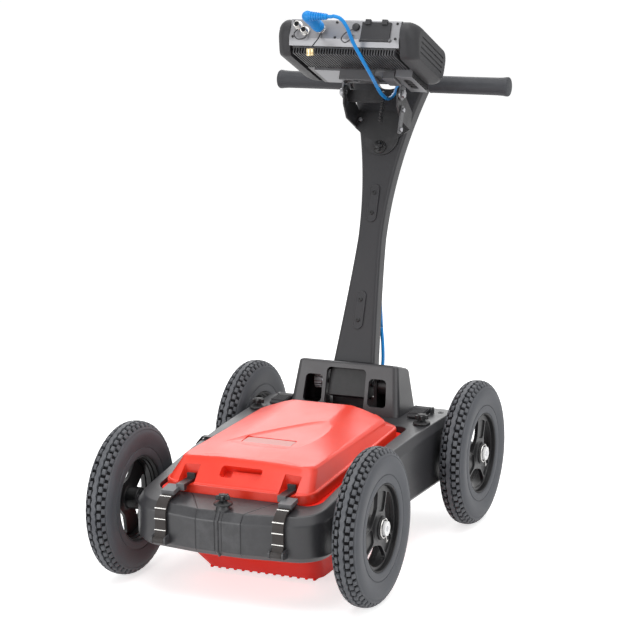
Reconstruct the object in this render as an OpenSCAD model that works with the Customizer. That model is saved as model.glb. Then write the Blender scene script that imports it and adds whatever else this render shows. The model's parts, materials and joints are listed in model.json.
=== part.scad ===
// Four wheeled ground survey cart: a moulded ring frame on air tyres carries a red sensor housing,
// and a leaning mast with a split handlebar holds a rugged controller that tilts.
// Millimetres, +Z up, front towards -Y, X across the cart.

/* [Wheels] */
// Outside diameter of a tyre
tyre_d = 318; // [300:1:340]
// Width of a tyre
tyre_w = 56; // [48:1:64]
// Distance between the left and right wheel centres
track = 537; // [520:1:580]
// Distance between the front and rear axles
wheelbase = 584; // [560:1:640]
// Radius at which the tyre beads sit on the rim
bead_r = 101; // [96:0.5:106]
// Thickness of the tyre casing
casing = 7; // [5:0.5:9]
// Height of the rim flange above the bead seat
flange_h = 5; // [3:0.5:8]
// Inner radius of the rim barrel
barrel_r = 88; // [80:0.5:92]
// Diameter of the wheel hub
hub_d = 46; // [40:1:56]
// Length of the wheel hub
hub_l = 48; // [40:1:54]
// Number of spokes in a rim
spokes = 3; // [3:1:6]
// Width of a spoke at the hub
spoke_w = 34; // [24:1:38]
// Wall of a channel spoke
spoke_wall = 5; // [3:0.5:8]
// Diameter of a stub axle
axle_d = 12; // [10:0.5:15]
// Outside diameter of a wheel bearing
bearing_d = 28; // [24:1:34]
// Width of a wheel bearing
bearing_w = 8; // [6:0.5:10]
// Diameter of the white end cap on an axle
cap_d = 26; // [22:1:34]
// Thickness of the spring clip behind the end cap
clip_t = 3; // [2:0.5:5]

/* [Frame] */
// Front axle to the front face of the frame
front_overhang = 140; // [110:1:170]
// Rear axle to the rear face of the frame
rear_overhang = 28; // [26:1:60]
// Gap between a rear tyre and the side of the frame
tyre_gap = 8; // [6:0.5:20]
// How much narrower each side of the frame is at the front axle than at the rear one
side_taper = 20; // [0:1:40]
// Height of the rear deck
deck_h = 246; // [235:1:260]
// How far the front edge of the frame lies below the rear deck
nose_drop = 50; // [40:1:60]
// Height of the underside of the frame
frame_low = 105; // [90:1:115]
// Width of the bevel along the edges of the frame
bevel = 12; // [6:0.5:16]
// Wall of the moulded frame
frame_wall = 5; // [3:0.5:7]
// Width of the flat panel in the middle of the front face
nose_w = 98; // [60:1:140]
// How far the outer parts of the front face are swept back
nose_sweep = 12; // [0:0.5:20]
// Radius of the front corners of the frame
front_corner_r = 70; // [50:1:90]
// Radius of the rear corners of the frame
rear_corner_r = 36; // [24:1:60]

/* [Sensor housing] */
// Width of the housing over its rim
lid_w = 330; // [300:1:340]
// Rim of the housing to the front axle, forwards
lid_front = 58; // [40:1:60]
// Rim of the housing to the rear axle, forwards
lid_rear = 167; // [160:1:200]
// How far the lower edge of the rim lies below the rear deck at its front
rim_drop = 43; // [40:0.5:46]
// Rise of the rim plane for each millimetre towards the rear
rim_rise = 0.06; // [0.04:0.005:0.07]
// Height of the upright band round the rim
rim_band = 22; // [14:1:26]
// Height of the top of the lid above its rim at the front
lid_rise = 60; // [45:1:70]
// Extra height of the crown of the lid at its rear
crown_h = 28; // [10:1:36]
// How far the top edge of the lid is set in from the rim at the sides
lid_draft = 16; // [12:1:30]
// How far the top edge of the lid is set back from the rim at the front
lid_slope = 44; // [40:1:60]
// Wall of the housing
lid_wall = 4; // [3:0.5:6]
// Clearance round the housing in the frame
lid_gap = 14; // [10:0.5:20]
// Height of the underside of the skid pan
pan_low = 12; // [8:1:40]
// How far the front of the pan's floor lies behind the rim
pan_rake = 138; // [110:1:160]
// Number of runners under the skid pan
pan_runners = 14; // [6:1:20]

/* [Mast] */
// Lean of the mast towards the rear, in degrees
lean = 20; // [15:0.5:25]
// Height of the fold pin above the rear deck
pin_rise = 54; // [50:1:60]
// Fold pin to the rear axle, forwards
pin_back = 34; // [32:0.5:40]
// Length of the mast from the fold pin to the handlebar
mast_l = 685; // [620:1:760]
// Half the width of the mast at its foot
foot_half = 49; // [44:0.5:52]
// Half the width of the mast at its waist
waist_half = 28.5; // [24:0.5:36]
// Half the width of the mast at the handlebar
head_half = 92; // [84:0.5:110]
// Thickness of the mast
mast_t = 42; // [36:0.5:46]
// Diameter of the fold pin
fold_pin_d = 12; // [10:0.5:14]
// Distance between the ends of the handlebar
bar_span = 558; // [480:1:640]
// Diameter of the handlebar tubes
bar_d = 28; // [24:0.5:32]
// Diameter of the grips
grip_d = 40; // [36:0.5:44]
// Half the width of the notch between the arms of the mast head
notch_half = 46; // [36:0.5:48]

/* [Cowl] */
// Width of the cowl at its foot
cowl_w = 261; // [252:1:270]
// Width of the cowl at its top
cowl_top_w = 237; // [228:1:244]
// Height of the front top edge of the cowl above the deck
cowl_h = 110; // [104:1:118]
// Wall of the cowl
cowl_wall = 5; // [3:0.5:6]

/* [Controller] */
// Width of the controller over its bumpers
ctl_w = 326; // [310:1:370]
// Depth of the controller from the connector edge to the operator's edge
ctl_d = 214; // [205:1:250]
// Thickness of the controller
ctl_t = 76; // [66:1:84]
// Slope of the screen at rest, in degrees
ctl_tilt = 24; // [15:1:45]
// Width of the bumper at each end
bumper_w = 36; // [28:1:44]
// Number of fins on the heat sink
fins = 38; // [20:1:44]
// Depth of the fins
fin_h = 12; // [6:0.5:14]
// Diameter of the tilt bolts
tilt_bolt_d = 10; // [8:0.5:12]
// Thickness of the yoke's sheet metal
yoke_t = 4; // [3:0.5:5]

/* [Knobs and straps] */
// Diameter of a star knob
knob_d = 34; // [28:1:40]
// Height of a star knob
knob_h = 22; // [16:1:30]
// Diameter of a knob's threaded stud
stud_d = 8; // [6:0.5:10]
// Width of a front strap
strap_w = 24; // [18:1:30]
// Thickness of a front strap
strap_t = 5; // [4:0.5:6]
// Distance of a strap from the middle of the cart
strap_x = 128; // [110:1:134]
// Width of a rear latch
latch_w = 34; // [26:1:40]
// Length of a rear latch
latch_l = 60; // [50:1:66]

/* [Cable] */
// Diameter of the blue cable
cable_d = 8; // [6:0.5:10]

/* [Hidden] */
$fn = 64;
// Radial clearance of a running fit
run_gap = 0.05;
// Gap between pieces that pass each other
pass_gap = 0.4;

// Finishes
charcoal = [0.16, 0.16, 0.17];
black = [0.07, 0.07, 0.08];
red = [0.90, 0.18, 0.13];
rubber = [0.17, 0.18, 0.20];
silver = [0.72, 0.72, 0.74];
blue = [0.05, 0.42, 0.85];

// Wheel places
tyre_r = tyre_d / 2;
wheel_x = track / 2;
axle_y = wheelbase / 2;
hub_out = hub_l / 2;

// Frame outline
frame_front = -axle_y - front_overhang;
frame_rear = axle_y + rear_overhang;
side_y0 = frame_front + nose_sweep + front_corner_r;
side_y1 = frame_rear - rear_corner_r;
rear_half = wheel_x - tyre_w / 2 - tyre_gap;
front_half = rear_half - side_taper;
taper = side_taper / wheelbase;
nose_h = deck_h - nose_drop;
deck_l = 92;
deck_start = axle_y - deck_l;
nose_edge = frame_front + bevel;

// Housing outline
lid_y0 = -axle_y - lid_front;
lid_y1 = axle_y - lid_rear;
lid_half = lid_w / 2;
rim_h = deck_h - rim_drop;
open_half = lid_half + lid_gap;
flange_gap = 3;
open_y0 = lid_y0 - flange_gap;
open_y1 = lid_y1 + lid_gap;
open_r = 30;
ledge_in = 16;
flange_t = 6;

// Mast places
pin_y = axle_y - pin_back;
pin_h = deck_h + pin_rise;
foot_top = 44;
bar_t = mast_l;
mast_top = mast_l + grip_d / 2 + 4;
waist_t = 0.48 * mast_l;
bar_half = bar_span / 2;
front_n = -mast_t / 2;

// Controller places in the cart's frame
tilt_t = mast_l - 50;
tilt_n = -105;
tilt_y = pin_y + tilt_n * cos(lean) + tilt_t * sin(lean);
tilt_z = pin_h - tilt_n * sin(lean) + tilt_t * cos(lean);
// The tilt axis in the controller's own frame
tilt_ly = ctl_d - 13;
tilt_lz = -ctl_t - 23;
ctl_half = ctl_w / 2;
case_half = ctl_half - bumper_w;
yoke_half = 62;

// The whole cart sits with the middle of its footprint at the origin
rear_reach = pin_y + bar_t * sin(lean) + grip_d / 2 + 1.5;
front_reach = axle_y + tyre_r;
shift_y = (front_reach - rear_reach) / 2;

function side_half(y) = rear_half - taper * (axle_y - y);
function frame_top(y) = deck_h
    - (deck_h - nose_h) * pow(max(0, deck_start - y) / (deck_start - nose_edge), 2);
function rim_z(y) = rim_h + rim_rise * (y - lid_y0);
function lid_base(y) = rim_z(lid_y0 + lid_slope) + lid_rise
    + (rim_rise * 0.25) * (y - lid_y0 - lid_slope);
function lid_crown(x, y) = crown_h * min(1, max(0, (lid_half - lid_draft - abs(x)) / 85))
    * (0.2 + 0.8 * (y - lid_y0 - lid_slope) / (lid_y1 - lid_y0 - lid_slope));
function lid_top(x, y) = lid_base(y) + lid_crown(x, y);

// Quarter round of a corner, counter-clockwise
function corner(cx, cy, r, a0, n) = [
    for (i = [0:n]) [cx + r * cos(a0 + 90 * i / n), cy + r * sin(a0 + 90 * i / n)]
];
// Points along a straight side, ends left out
function along(a, b, n) = n < 2 ? [] : [for (i = [1:n - 1]) a + (b - a) * i / n];
// Rounded plan outline with a raised middle panel on its front side
function plan(hf, hr, y0, y1, rf, rr, nose, sweep, n = 5, m = 7) = let(
    right = [[hf, y0 + sweep + rf], [hr, y1 - rr]],
    left = [[-hr, y1 - rr], [-hf, y0 + sweep + rf]]
) concat(
    corner(hr - rr, y1 - rr, rr, 0, n),
    corner(rr - hr, y1 - rr, rr, 90, n),
    along(left[0], left[1], m),
    corner(rf - hf, y0 + sweep + rf, rf, 180, n),
    [[-nose, y0], [nose, y0]],
    corner(hf - rf, y0 + sweep + rf, rf, 270, n),
    along(right[0], right[1], m)
);
function rounded(hx, hy, r, n = 3) = concat(
    corner(hx - r, hy - r, r, 0, n),
    corner(r - hx, hy - r, r, 90, n),
    corner(r - hx, r - hy, r, 180, n),
    corner(hx - r, r - hy, r, 270, n)
);
function lift(loop, z) = [for (p = loop) [p[0], p[1], z]];

// Faces between neighbouring loops of equal length
function walls(count, n, m) = [
    for (i = [0:count - 1], j = [0:n - 1]) let(
        a = i * n + j,
        b = ((i + 1) % m) * n + j,
        c = ((i + 1) % m) * n + (j + 1) % n,
        d = i * n + (j + 1) % n
    ) each [[a, b, c], [a, c, d]]
];
module loft(loops) {
    n = len(loops[0]);
    m = len(loops);
    ends = [[for (j = [0:n - 1]) j], [for (j = [n - 1:-1:0]) (m - 1) * n + j]];
    polyhedron([for (l = loops) each l], concat(walls(m - 1, n, m), ends));
}
module ring_loft(loops) {
    n = len(loops[0]);
    m = len(loops);
    polyhedron([for (l = loops) each l], walls(m, n, m));
}

// A tube along points, with its sides kept square to the path
function unit(v) = v / norm(v);
function heading(p, i) = unit(p[min(i + 1, len(p) - 1)] - p[max(i - 1, 0)]);
function bend(p, i) = let(k = len(p) - 1) i < 0 ? p[0] * 2 - p[1] : i > k ? p[k] * 2 - p[k - 1] : p[i];
function between(p, i, t) = let(
    a = bend(p, i - 1), b = bend(p, i), c = bend(p, i + 1), d = bend(p, i + 2)
) 0.5 * (2 * b + (c - a) * t + (2 * a - 5 * b + 4 * c - d) * t * t + (3 * b - a - 3 * c + d) * t * t * t);
function smooth(p, n) = concat(
    [for (i = [0:len(p) - 2], k = [0:n - 1]) between(p, i, k / n)],
    [p[len(p) - 1]]
);
module tube(path, d, sides = 8) {
    side = [1, 0.15, 0.1];
    loops = [for (i = [0:len(path) - 1]) let(
        h = heading(path, i),
        u = unit(cross(h, side)),
        v = cross(h, u)
    ) [for (j = [0:sides - 1]) path[i] + d / 2 * (cos(360 * j / sides) * u + sin(360 * j / sides) * v)]];
    loft(loops);
}

// Repeats and frames
module placed() {
    translate([0, shift_y, 0]) children();
}
module sides() {
    for (s = [-1, 1]) scale_x(s) children();
}
module scale_x(s) {
    mirror([s < 0 ? 1 : 0, 0, 0]) children();
}
module at_wheel(sx, sy) {
    translate([sx * wheel_x, sy * axle_y, tyre_r]) rotate([0, sx * 90, 0]) children();
}
module every_wheel() {
    for (sx = [-1, 1], sy = [-1, 1]) at_wheel(sx, sy) children();
}
// Mast frame: x across, y towards the rear face, z up the mast from the fold pin
module on_mast() {
    translate([0, pin_y, pin_h]) rotate([-lean, 0, 0]) children();
}
// Controller frame: y from the connector edge to the operator, z out of the screen
module on_controller() {
    translate([0, tilt_y, tilt_z]) rotate([-ctl_tilt, 0, 0]) translate([0, -tilt_ly, -tilt_lz]) children();
}
module block(x0, x1, y0, y1, z0, z1) {
    translate([x0, y0, z0]) cube([x1 - x0, y1 - y0, z1 - z0]);
}
module rod_x(x0, x1, r) {
    translate([x0, 0, 0]) rotate([0, 90, 0]) cylinder(h = x1 - x0, r = r);
}
module rod_y(y0, y1, r) {
    translate([0, y0, 0]) rotate([-90, 0, 0]) cylinder(h = y1 - y0, r = r);
}
module slab(w, h, r) {
    square([w - 2 * r, h], center = true);
    square([w, h - 2 * r], center = true);
    for (x = [-1, 1], y = [-1, 1]) translate([x * (w / 2 - r), y * (h / 2 - r)]) circle(r);
}

// Frame
function frame_loop(inset, drop, z) = let(
    o = plan(side_half(side_y0) - inset, side_half(side_y1) - inset, frame_front + inset,
        frame_rear - inset, front_corner_r - inset, rear_corner_r - inset, nose_w / 2, nose_sweep)
) [for (p = o) [p[0], p[1], is_undef(z) ? frame_top(p[1]) - drop : z]];
function open_loop(grow, drop, below) = let(
    o = plan(open_half + grow, open_half + grow, open_y0 - grow, open_y1 + grow, open_r + grow,
        open_r + grow, nose_w / 2, 0)
) [for (p = o) [p[0], p[1], is_undef(below) ? frame_top(p[1]) - drop : rim_z(p[1]) - flange_t - below]];
boss_h = 4;
axle_boss_d = 56;
module chassis_frame() color(charcoal) {
    difference() {
        union() {
            ring_loft([
                frame_loop(bevel + 1, 0, frame_low),
                frame_loop(0, 0, frame_low + bevel + 1),
                frame_loop(0, bevel + 3),
                frame_loop(bevel, 0),
                open_loop(0, 0),
                open_loop(0, 0, 0),
                open_loop(-ledge_in, 0, 0),
                open_loop(-ledge_in, 0, frame_wall),
                open_loop(frame_wall, 0, frame_wall),
                open_loop(frame_wall, frame_wall),
                frame_loop(bevel + frame_wall, frame_wall),
                frame_loop(frame_wall, bevel + frame_wall + 3),
                frame_loop(frame_wall, 0, frame_low + bevel + frame_wall),
                frame_loop(bevel + frame_wall + 1, 0, frame_low)
            ]);
            for (sx = [-1, 1], sy = [-1, 1]) at_wheel(sx, sy) axle_boss(sy);
            translate([0, front_knob_y, boss_top - boss_sink]) cylinder(h = boss_sink, d = knob_d + 2);
            sides() strap_lugs();
            sides() latch_lugs();
        }
        knob_hole(0, front_knob_y, boss_top);
        sides() knob_hole(rear_knob_x, rear_knob_y, deck_h);
        sides() tie_hole();
    }
}
function boss_face(sy) = side_half(sy * axle_y) + boss_h - wheel_x;
module axle_boss(sy) {
    translate([0, 0, boss_face(sy) - boss_h - frame_wall])
        cylinder(h = boss_h + frame_wall, d = axle_boss_d);
}
// Knob seats
front_knob_y = frame_front + 26;
rear_knob_x = open_half + 16;
rear_knob_back = 122;
rear_knob_y = axle_y - rear_knob_back;
boss_top = nose_h + 10;
boss_sink = 20;
module knob_hole(x, y, seat) {
    translate([x, y, seat - 2 * boss_sink]) cylinder(h = 3 * boss_sink, d = stud_d + 2 * run_gap);
}
// Tie-down holes through the rear corners of the deck
tie_d = 6.6;
tie_x = open_half + 20;
tie_y = axle_y - 16;
module tie_hole() {
    translate([tie_x, tie_y, deck_h - 20]) cylinder(h = 40, d = tie_d);
}

// Sensor housing
lid_r = 34;
lid_bow = 2;
lid_round = 4;
band_in = 5;
band_lip = 3;
crown_half = 57;
lid_back = 28;
function band_loop(inset, rise) = let(
    o = plan(lid_half - inset, lid_half - inset, lid_y0 - lid_bow + inset, lid_y1 - inset, lid_r - inset,
        lid_r - inset, nose_w / 2, lid_bow, m = 1)
) [for (p = o) [p[0], p[1], rim_z(p[1]) + rise]];
function top_loop(half, front, back, r, drop) = let(
    o = plan(half, half, lid_y0 - lid_bow + lid_slope + front, lid_y1 - lid_back - back, r, r,
        min(nose_w / 2, half - r - 1), lid_bow, m = 1)
) [for (p = o) [p[0], p[1], lid_top(p[0], p[1]) - drop]];
function lid_loops(g) = [
    band_loop(g, g > 0 ? -1 : 0),
    band_loop(g, rim_band),
    band_loop(g + band_in, rim_band + band_lip),
    top_loop(lid_half - lid_draft - g, g, g, 26, lid_round + g),
    top_loop(lid_half - lid_draft - 6 - g, 5 + g, 5 + g, 22, g),
    top_loop(crown_half - g, 24 + g, 18 + g, 18, g)
];
notch_x = strap_x - 17;
notch_w = 36;
notch_back = lid_y0 + 36;
hook_rise = 18;
hook_floor = rim_h + hook_rise;
module lid_notch(grow) {
    block(notch_x - notch_w / 2 - grow, notch_x + notch_w / 2 + grow, lid_y0 - 20, notch_back + grow,
        hook_floor - grow, hook_floor + 60);
}
// Grip slot, sunk square into the sloping front face
slot_w = 90;
slot_h = 26;
slot_r = 8;
slot_deep = 8;
slope_low = rim_h + rim_band + band_lip;
slope_run = lid_slope - lid_bow - band_in;
slope_rise = rim_rise * lid_slope + lid_rise - lid_round - rim_band - band_lip;
slot_share = 0.5;
module lid_slot(grow) {
    translate([0, lid_y0 - lid_bow + band_in + slot_share * slope_run, slope_low + slot_share * slope_rise])
        rotate([atan2(slope_rise, slope_run), 0, 0]) translate([0, 0, -slot_deep - grow])
            linear_extrude(4 * slot_deep) slab(slot_w + 2 * grow, slot_h + 2 * grow, slot_r + grow);
}
module antenna_lid() color(red) difference() {
    loft(lid_loops(0));
    difference() {
        loft(lid_loops(lid_wall));
        sides() lid_notch(lid_wall);
        lid_slot(lid_wall);
    }
    sides() lid_notch(0);
    lid_slot(0);
}
runner_h = 3;
pan_floor = pan_low + runner_h + lid_wall;
board_t = 2;
// Skid pan, with a raked front like a sledge's
pan_in = ledge_in + 9;
pan_base_in = pan_in + 24;
pan_knee = 26;
function pan_loop(inset, front, z, rise) = let(
    y0 = open_y0 + front,
    y1 = open_y1 - inset
) [
    for (p = rounded(open_half - inset, (y1 - y0) / 2, open_r, 5)) let(y = p[1] + (y0 + y1) / 2)
        [p[0], y, is_undef(z) ? rim_z(y) + rise : z]
];
knee_share = 0.32;
knee_in = pan_base_in - 10;
knee_rake = pan_rake + (pan_in - pan_rake) * knee_share;
function pan_loops(g) = [
    pan_loop(pan_base_in + g, pan_rake + g, pan_floor - lid_wall + g),
    pan_loop(knee_in + g, knee_rake + g, pan_floor + pan_knee + g / 2),
    pan_loop(pan_in + g, pan_in + g, frame_low + g / 4),
    pan_loop(pan_in + g, pan_in + g, undef, g > 0 ? 1 : -1)
];
// Flat floor inside the pan
floor_half = open_half - pan_base_in - lid_wall;
floor_y0 = open_y0 + pan_rake + lid_wall;
floor_y1 = open_y1 - pan_base_in - lid_wall;
runner_w = 6;
runner_in = 10;
runner_span = 2 * (floor_half - runner_in);
runner_sink = 1;
// Plate in the plane of the rim, between two distances below it
rim_tilt = atan(rim_rise);
module rim_plate(half, y0, y1, r, low, high) {
    translate([0, lid_y0, rim_h]) rotate([rim_tilt, 0, 0])
        translate([0, ((y0 + y1) / 2 - lid_y0) / cos(rim_tilt), -low * cos(rim_tilt)])
            linear_extrude((low - high) * cos(rim_tilt)) slab(2 * half, (y1 - y0) / cos(rim_tilt), r);
}
module antenna_pan() color(red) difference() {
    union() {
        loft(pan_loops(0));
        rim_plate(open_half - flange_gap, open_y0 + flange_gap, open_y1 - flange_gap, open_r, flange_t, 0);
        for (i = [0:pan_runners - 1])
            translate([runner_span * (i / (pan_runners - 1) - 0.5), 0, pan_low])
                block(-runner_w / 2, runner_w / 2, floor_y0, floor_y1, 0, runner_h + runner_sink);
    }
    loft(pan_loops(lid_wall));
}
post_d = 14;
post_in = 16;
post_l = 96;
post_x = floor_half - post_in;
board_z = pan_floor + post_l;
module antenna_board() color([0.1, 0.4, 0.2]) {
    block(-floor_half, floor_half, floor_y0, floor_y1, board_z, board_z + board_t);
    sides() for (y = [floor_y0 + post_in, floor_y1 - post_in])
        translate([post_x, y, pan_floor]) cylinder(h = post_l, d = post_d);
}
// Two flat bow-tie dipoles on the floor, one behind the other
dipole_gap = 8;
dipole_t = 1.5;
dipole_half = (floor_y1 - floor_y0 - 3 * dipole_gap) / 4;
dipole_x = post_x - post_d / 2 - dipole_gap;
feed_half = 8;
module antenna_dipoles() color([0.75, 0.5, 0.3]) for (s = [-1, 1])
    translate([0, (floor_y0 + floor_y1 + s * (2 * dipole_half + dipole_gap)) / 2, pan_floor])
        linear_extrude(dipole_t) polygon([
            [-dipole_x, -dipole_half], [-feed_half, -feed_half], [feed_half, -feed_half],
            [dipole_x, -dipole_half], [dipole_x, dipole_half], [feed_half, feed_half],
            [-feed_half, feed_half], [-dipole_x, dipole_half]
        ]);

// Wheels
function casing_arc(w, h, a0, a1) = [for (i = [0:24]) let(
    a = a0 + (a1 - a0) * i / 24
) [tyre_r - bead_h + h * cos(a), w * sign(sin(a)) * pow(abs(sin(a)), 0.75)]];
bead_h = (tyre_r - bead_r) / (1 + cos(30));
rib_w = 5;
module tyre() color(rubber) difference() {
    rotate_extrude() polygon(concat(
        casing_arc(tyre_w / 2, bead_h, -150, 150),
        casing_arc(tyre_w / 2 - casing, bead_h - casing, 150, -150)
    ));
    for (s = [-1, 1]) translate([0, 0, s * (rib_w + 4) - 1.5]) difference() {
        cylinder(h = 3, r = tyre_r + 2);
        translate([0, 0, -1]) cylinder(h = 5, r = tyre_r - 5);
    }
}
seat_r = bead_r - pass_gap;
lip_in = tyre_w / 2 * pow(sin(acos(-(tyre_r - bead_h - bead_r - flange_h) / bead_h)), 0.75) + 1;
lip_out = lip_in + 3;
module rim_section() polygon([
    [barrel_r, -lip_out], [bead_r + flange_h, -lip_out], [bead_r + flange_h, -lip_in], [seat_r, -lip_in],
    [seat_r, -12], [barrel_r + 5, -8], [barrel_r + 5, 8], [seat_r, 12],
    [seat_r, lip_in], [bead_r + flange_h, lip_in], [bead_r + flange_h, lip_out], [barrel_r, lip_out]
]);
module spoke_outline(cut) {
    inner = spoke_w / 2 - cut;
    outer = spoke_w * 0.8 - cut;
    start = cut == 0 ? 0 : hub_d / 2 + cut;
    end = cut == 0 ? barrel_r + 6 : barrel_r - 2 * cut;
    polygon([[start, -inner], [end, -outer], [end, outer], [start, inner]]);
}
spoke_low = 2;
spoke_high = 16;
module rim() color(black) difference() {
    union() {
        rotate_extrude() rim_section();
        translate([0, 0, -hub_out]) cylinder(h = hub_l, d = hub_d);
        for (i = [0:spokes - 1]) rotate([0, 0, 165 + 360 * i / spokes]) difference() {
            intersection() {
                translate([0, 0, spoke_low]) linear_extrude(spoke_high - spoke_low) spoke_outline(0);
                translate([0, 0, spoke_low - 1]) cylinder(h = spoke_high - spoke_low + 2, r = barrel_r + 2);
            }
            translate([0, 0, spoke_low + spoke_wall]) linear_extrude(spoke_high) spoke_outline(spoke_wall);
        }
    }
    translate([0, 0, -hub_out - 1]) cylinder(h = hub_l + 2, d = axle_d + 4);
    for (s = [-1, 1]) translate([0, 0, s * (hub_out - bearing_w / 2 + 1)])
        cylinder(h = bearing_w + 2, d = bearing_d, center = true);
}
module bearings() color(silver) for (s = [-1, 1])
    translate([0, 0, s * (hub_out - bearing_w / 2)]) difference() {
        cylinder(h = bearing_w, d = bearing_d - 2 * run_gap, center = true);
        cylinder(h = bearing_w + 2, d = axle_d + 2 * run_gap, center = true);
    }
shoulder_end = -hub_out - pass_gap;
clip_start = hub_out + pass_gap;
cap_start = clip_start + clip_t;
cap_h = 8;
cap_edge = 3;
module stub_axles() color(silver) for (sx = [-1, 1], sy = [-1, 1]) at_wheel(sx, sy) {
    translate([0, 0, boss_face(sy)]) cylinder(h = 4, d = axle_boss_d - 8);
    translate([0, 0, boss_face(sy)]) cylinder(h = shoulder_end - boss_face(sy), d = axle_d + 8);
    translate([0, 0, boss_face(sy)]) cylinder(h = cap_start + cap_h - cap_edge - boss_face(sy), d = axle_d);
}
module axle_clips() color(silver) every_wheel() translate([0, 0, clip_start]) difference() {
    cylinder(h = clip_t, d = cap_d + 8, $fn = 8);
    translate([0, 0, -1]) cylinder(h = clip_t + 2, d = axle_d + 2 * run_gap);
}
module axle_caps() color("white") every_wheel() translate([0, 0, cap_start]) difference() {
    rotate_extrude() polygon([
        [0, 0], [cap_d / 2, 0], [cap_d / 2, cap_h - cap_edge], [cap_d / 2 - cap_edge, cap_h], [0, cap_h]
    ]);
    translate([0, 0, -1]) cylinder(h = cap_h - 2 + run_gap, d = axle_d + 2 * run_gap);
}
ring_in = hub_d / 2 + run_gap;
ring_out = ring_in + 8;
ring_w = 7;
module encoder_ring() color(silver) at_wheel(-1, 1) translate([0, 0, -hub_out]) difference() {
    cylinder(h = ring_w, r = ring_out);
    translate([0, 0, -1]) cylinder(h = ring_w + 2, r = ring_in);
}
module encoder_sensor() color(black) at_wheel(-1, 1)
    block(ring_out + 0.6, ring_out + 15, -9, 9, boss_face(1) - boss_h + pass_gap, ring_w - hub_out);

// Star knobs
knob_lobes = 5;
module lobed(r, lobe_r, count) {
    circle(r);
    for (i = [0:count - 1]) rotate(360 * i / count) translate([r, 0]) circle(lobe_r);
}
module star_knob(d, h, stud) {
    cylinder(h = h * 0.3, d = d);
    linear_extrude(h * 0.9) lobed(d * 0.31, d * 0.13, knob_lobes);
    cylinder(h = h, d = d * 0.5);
    translate([0, 0, -stud]) cylinder(h = stud + 1, d = stud_d);
}
stud_l = 18;
module front_knob() color(black) translate([0, front_knob_y, boss_top + pass_gap])
    star_knob(knob_d, knob_h, stud_l);
module rear_knob(s) color(black) translate([s * rear_knob_x, rear_knob_y, deck_h + pass_gap])
    star_knob(knob_d, knob_h, stud_l);
module rear_knob_left() rear_knob(-1);
module rear_knob_right() rear_knob(1);

// Front straps, which swing forward on a pin low on the front face
sweep_w = front_half - front_corner_r - nose_w / 2;
front_at_strap = frame_front + nose_sweep * (strap_x - nose_w / 2) / sweep_w;
strap_pin_d = 6;
strap_pin_y = front_at_strap - 15;
strap_pin_z = frame_low + 22;
strap_eye_r = 7;
lug_t = 4;
module strap_lugs() {
    for (s = [-1, 1])
        translate([strap_x + s * (strap_w / 2 + pass_gap + lug_t / 2), 0, strap_pin_z])
            block(-lug_t / 2, lug_t / 2, strap_pin_y - 6, front_at_strap + 4, -8, 8);
    translate([strap_x, strap_pin_y, strap_pin_z])
        rod_x(-strap_w / 2 - pass_gap - 1, strap_w / 2 + pass_gap + 1, strap_pin_d / 2);
}
face_y = front_at_strap - 3.5;
strap_knee_z = frame_top(front_at_strap) - bevel;
strap_over_y = front_at_strap + bevel;
strap_over_z = frame_top(strap_over_y) + 4;
strap_end_y = lid_y0 - 12;
strap_end_z = frame_top(strap_end_y) + 4;
buckle_l = 34;
module strap(s) color([0.11, 0.1, 0.1]) difference() {
    translate([s * strap_x - strap_w / 2, 0, 0]) union() {
        rotate([90, 0, 90]) linear_extrude(strap_w) polygon([
            [strap_pin_y - 2, strap_pin_z], [face_y - strap_t, strap_pin_z + 14],
            [face_y - strap_t, strap_knee_z],
            [strap_over_y - 3, strap_over_z + strap_t], [strap_end_y, strap_end_z + strap_t],
            [strap_end_y, strap_end_z], [strap_over_y, strap_over_z], [face_y, strap_knee_z - 1],
            [face_y, strap_pin_z + 14], [strap_pin_y + 4, strap_pin_z]
        ]);
        translate([0, strap_pin_y, strap_pin_z]) rod_x(0, strap_w, strap_eye_r);
        for (share = [0.34, 0.74]) translate([0, 0, strap_pin_z + share * (strap_knee_z - strap_pin_z)])
            block(0, strap_w, face_y - strap_t - 2.5, face_y - strap_t + 1, -2, 2);
    }
    translate([s * strap_x, strap_pin_y, strap_pin_z]) rod_x(-strap_w, strap_w, strap_pin_d / 2 + run_gap);
}
module strap_left() strap(-1);
module strap_right() strap(1);
buckle_low = strap_end_z + strap_t;
hook_half = 9;
hook_t = 6;
hook_gap = 6;
hook_low = hook_floor + pass_gap;
riser_l = 12;
module hook_bar(y0, y1, z0, z1) block(-hook_half, hook_half, y0, y1, z0, z1);
module buckle(s) color(black) translate([s * strap_x, 0, 0]) {
    slope = atan2(strap_end_z - strap_over_z, strap_end_y - strap_over_y + 3);
    translate([0, strap_end_y, buckle_low]) rotate([slope, 0, 0])
        block(-strap_w / 2 - 2, strap_w / 2 + 2, -buckle_l, 0, 0, 9);
    translate([-s * (strap_x - notch_x), 0, 0]) {
        hook_bar(strap_end_y - riser_l, notch_back - hook_gap, hook_low, hook_low + hook_t);
        hook_bar(notch_back - 2 * hook_gap, notch_back - hook_gap, hook_low, hook_floor + 16);
        hook_bar(strap_end_y - riser_l, strap_end_y, min(buckle_low, hook_low),
            max(buckle_low, hook_low) + hook_t);
    }
}
module buckle_left() buckle(-1);
module buckle_right() buckle(1);

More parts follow.
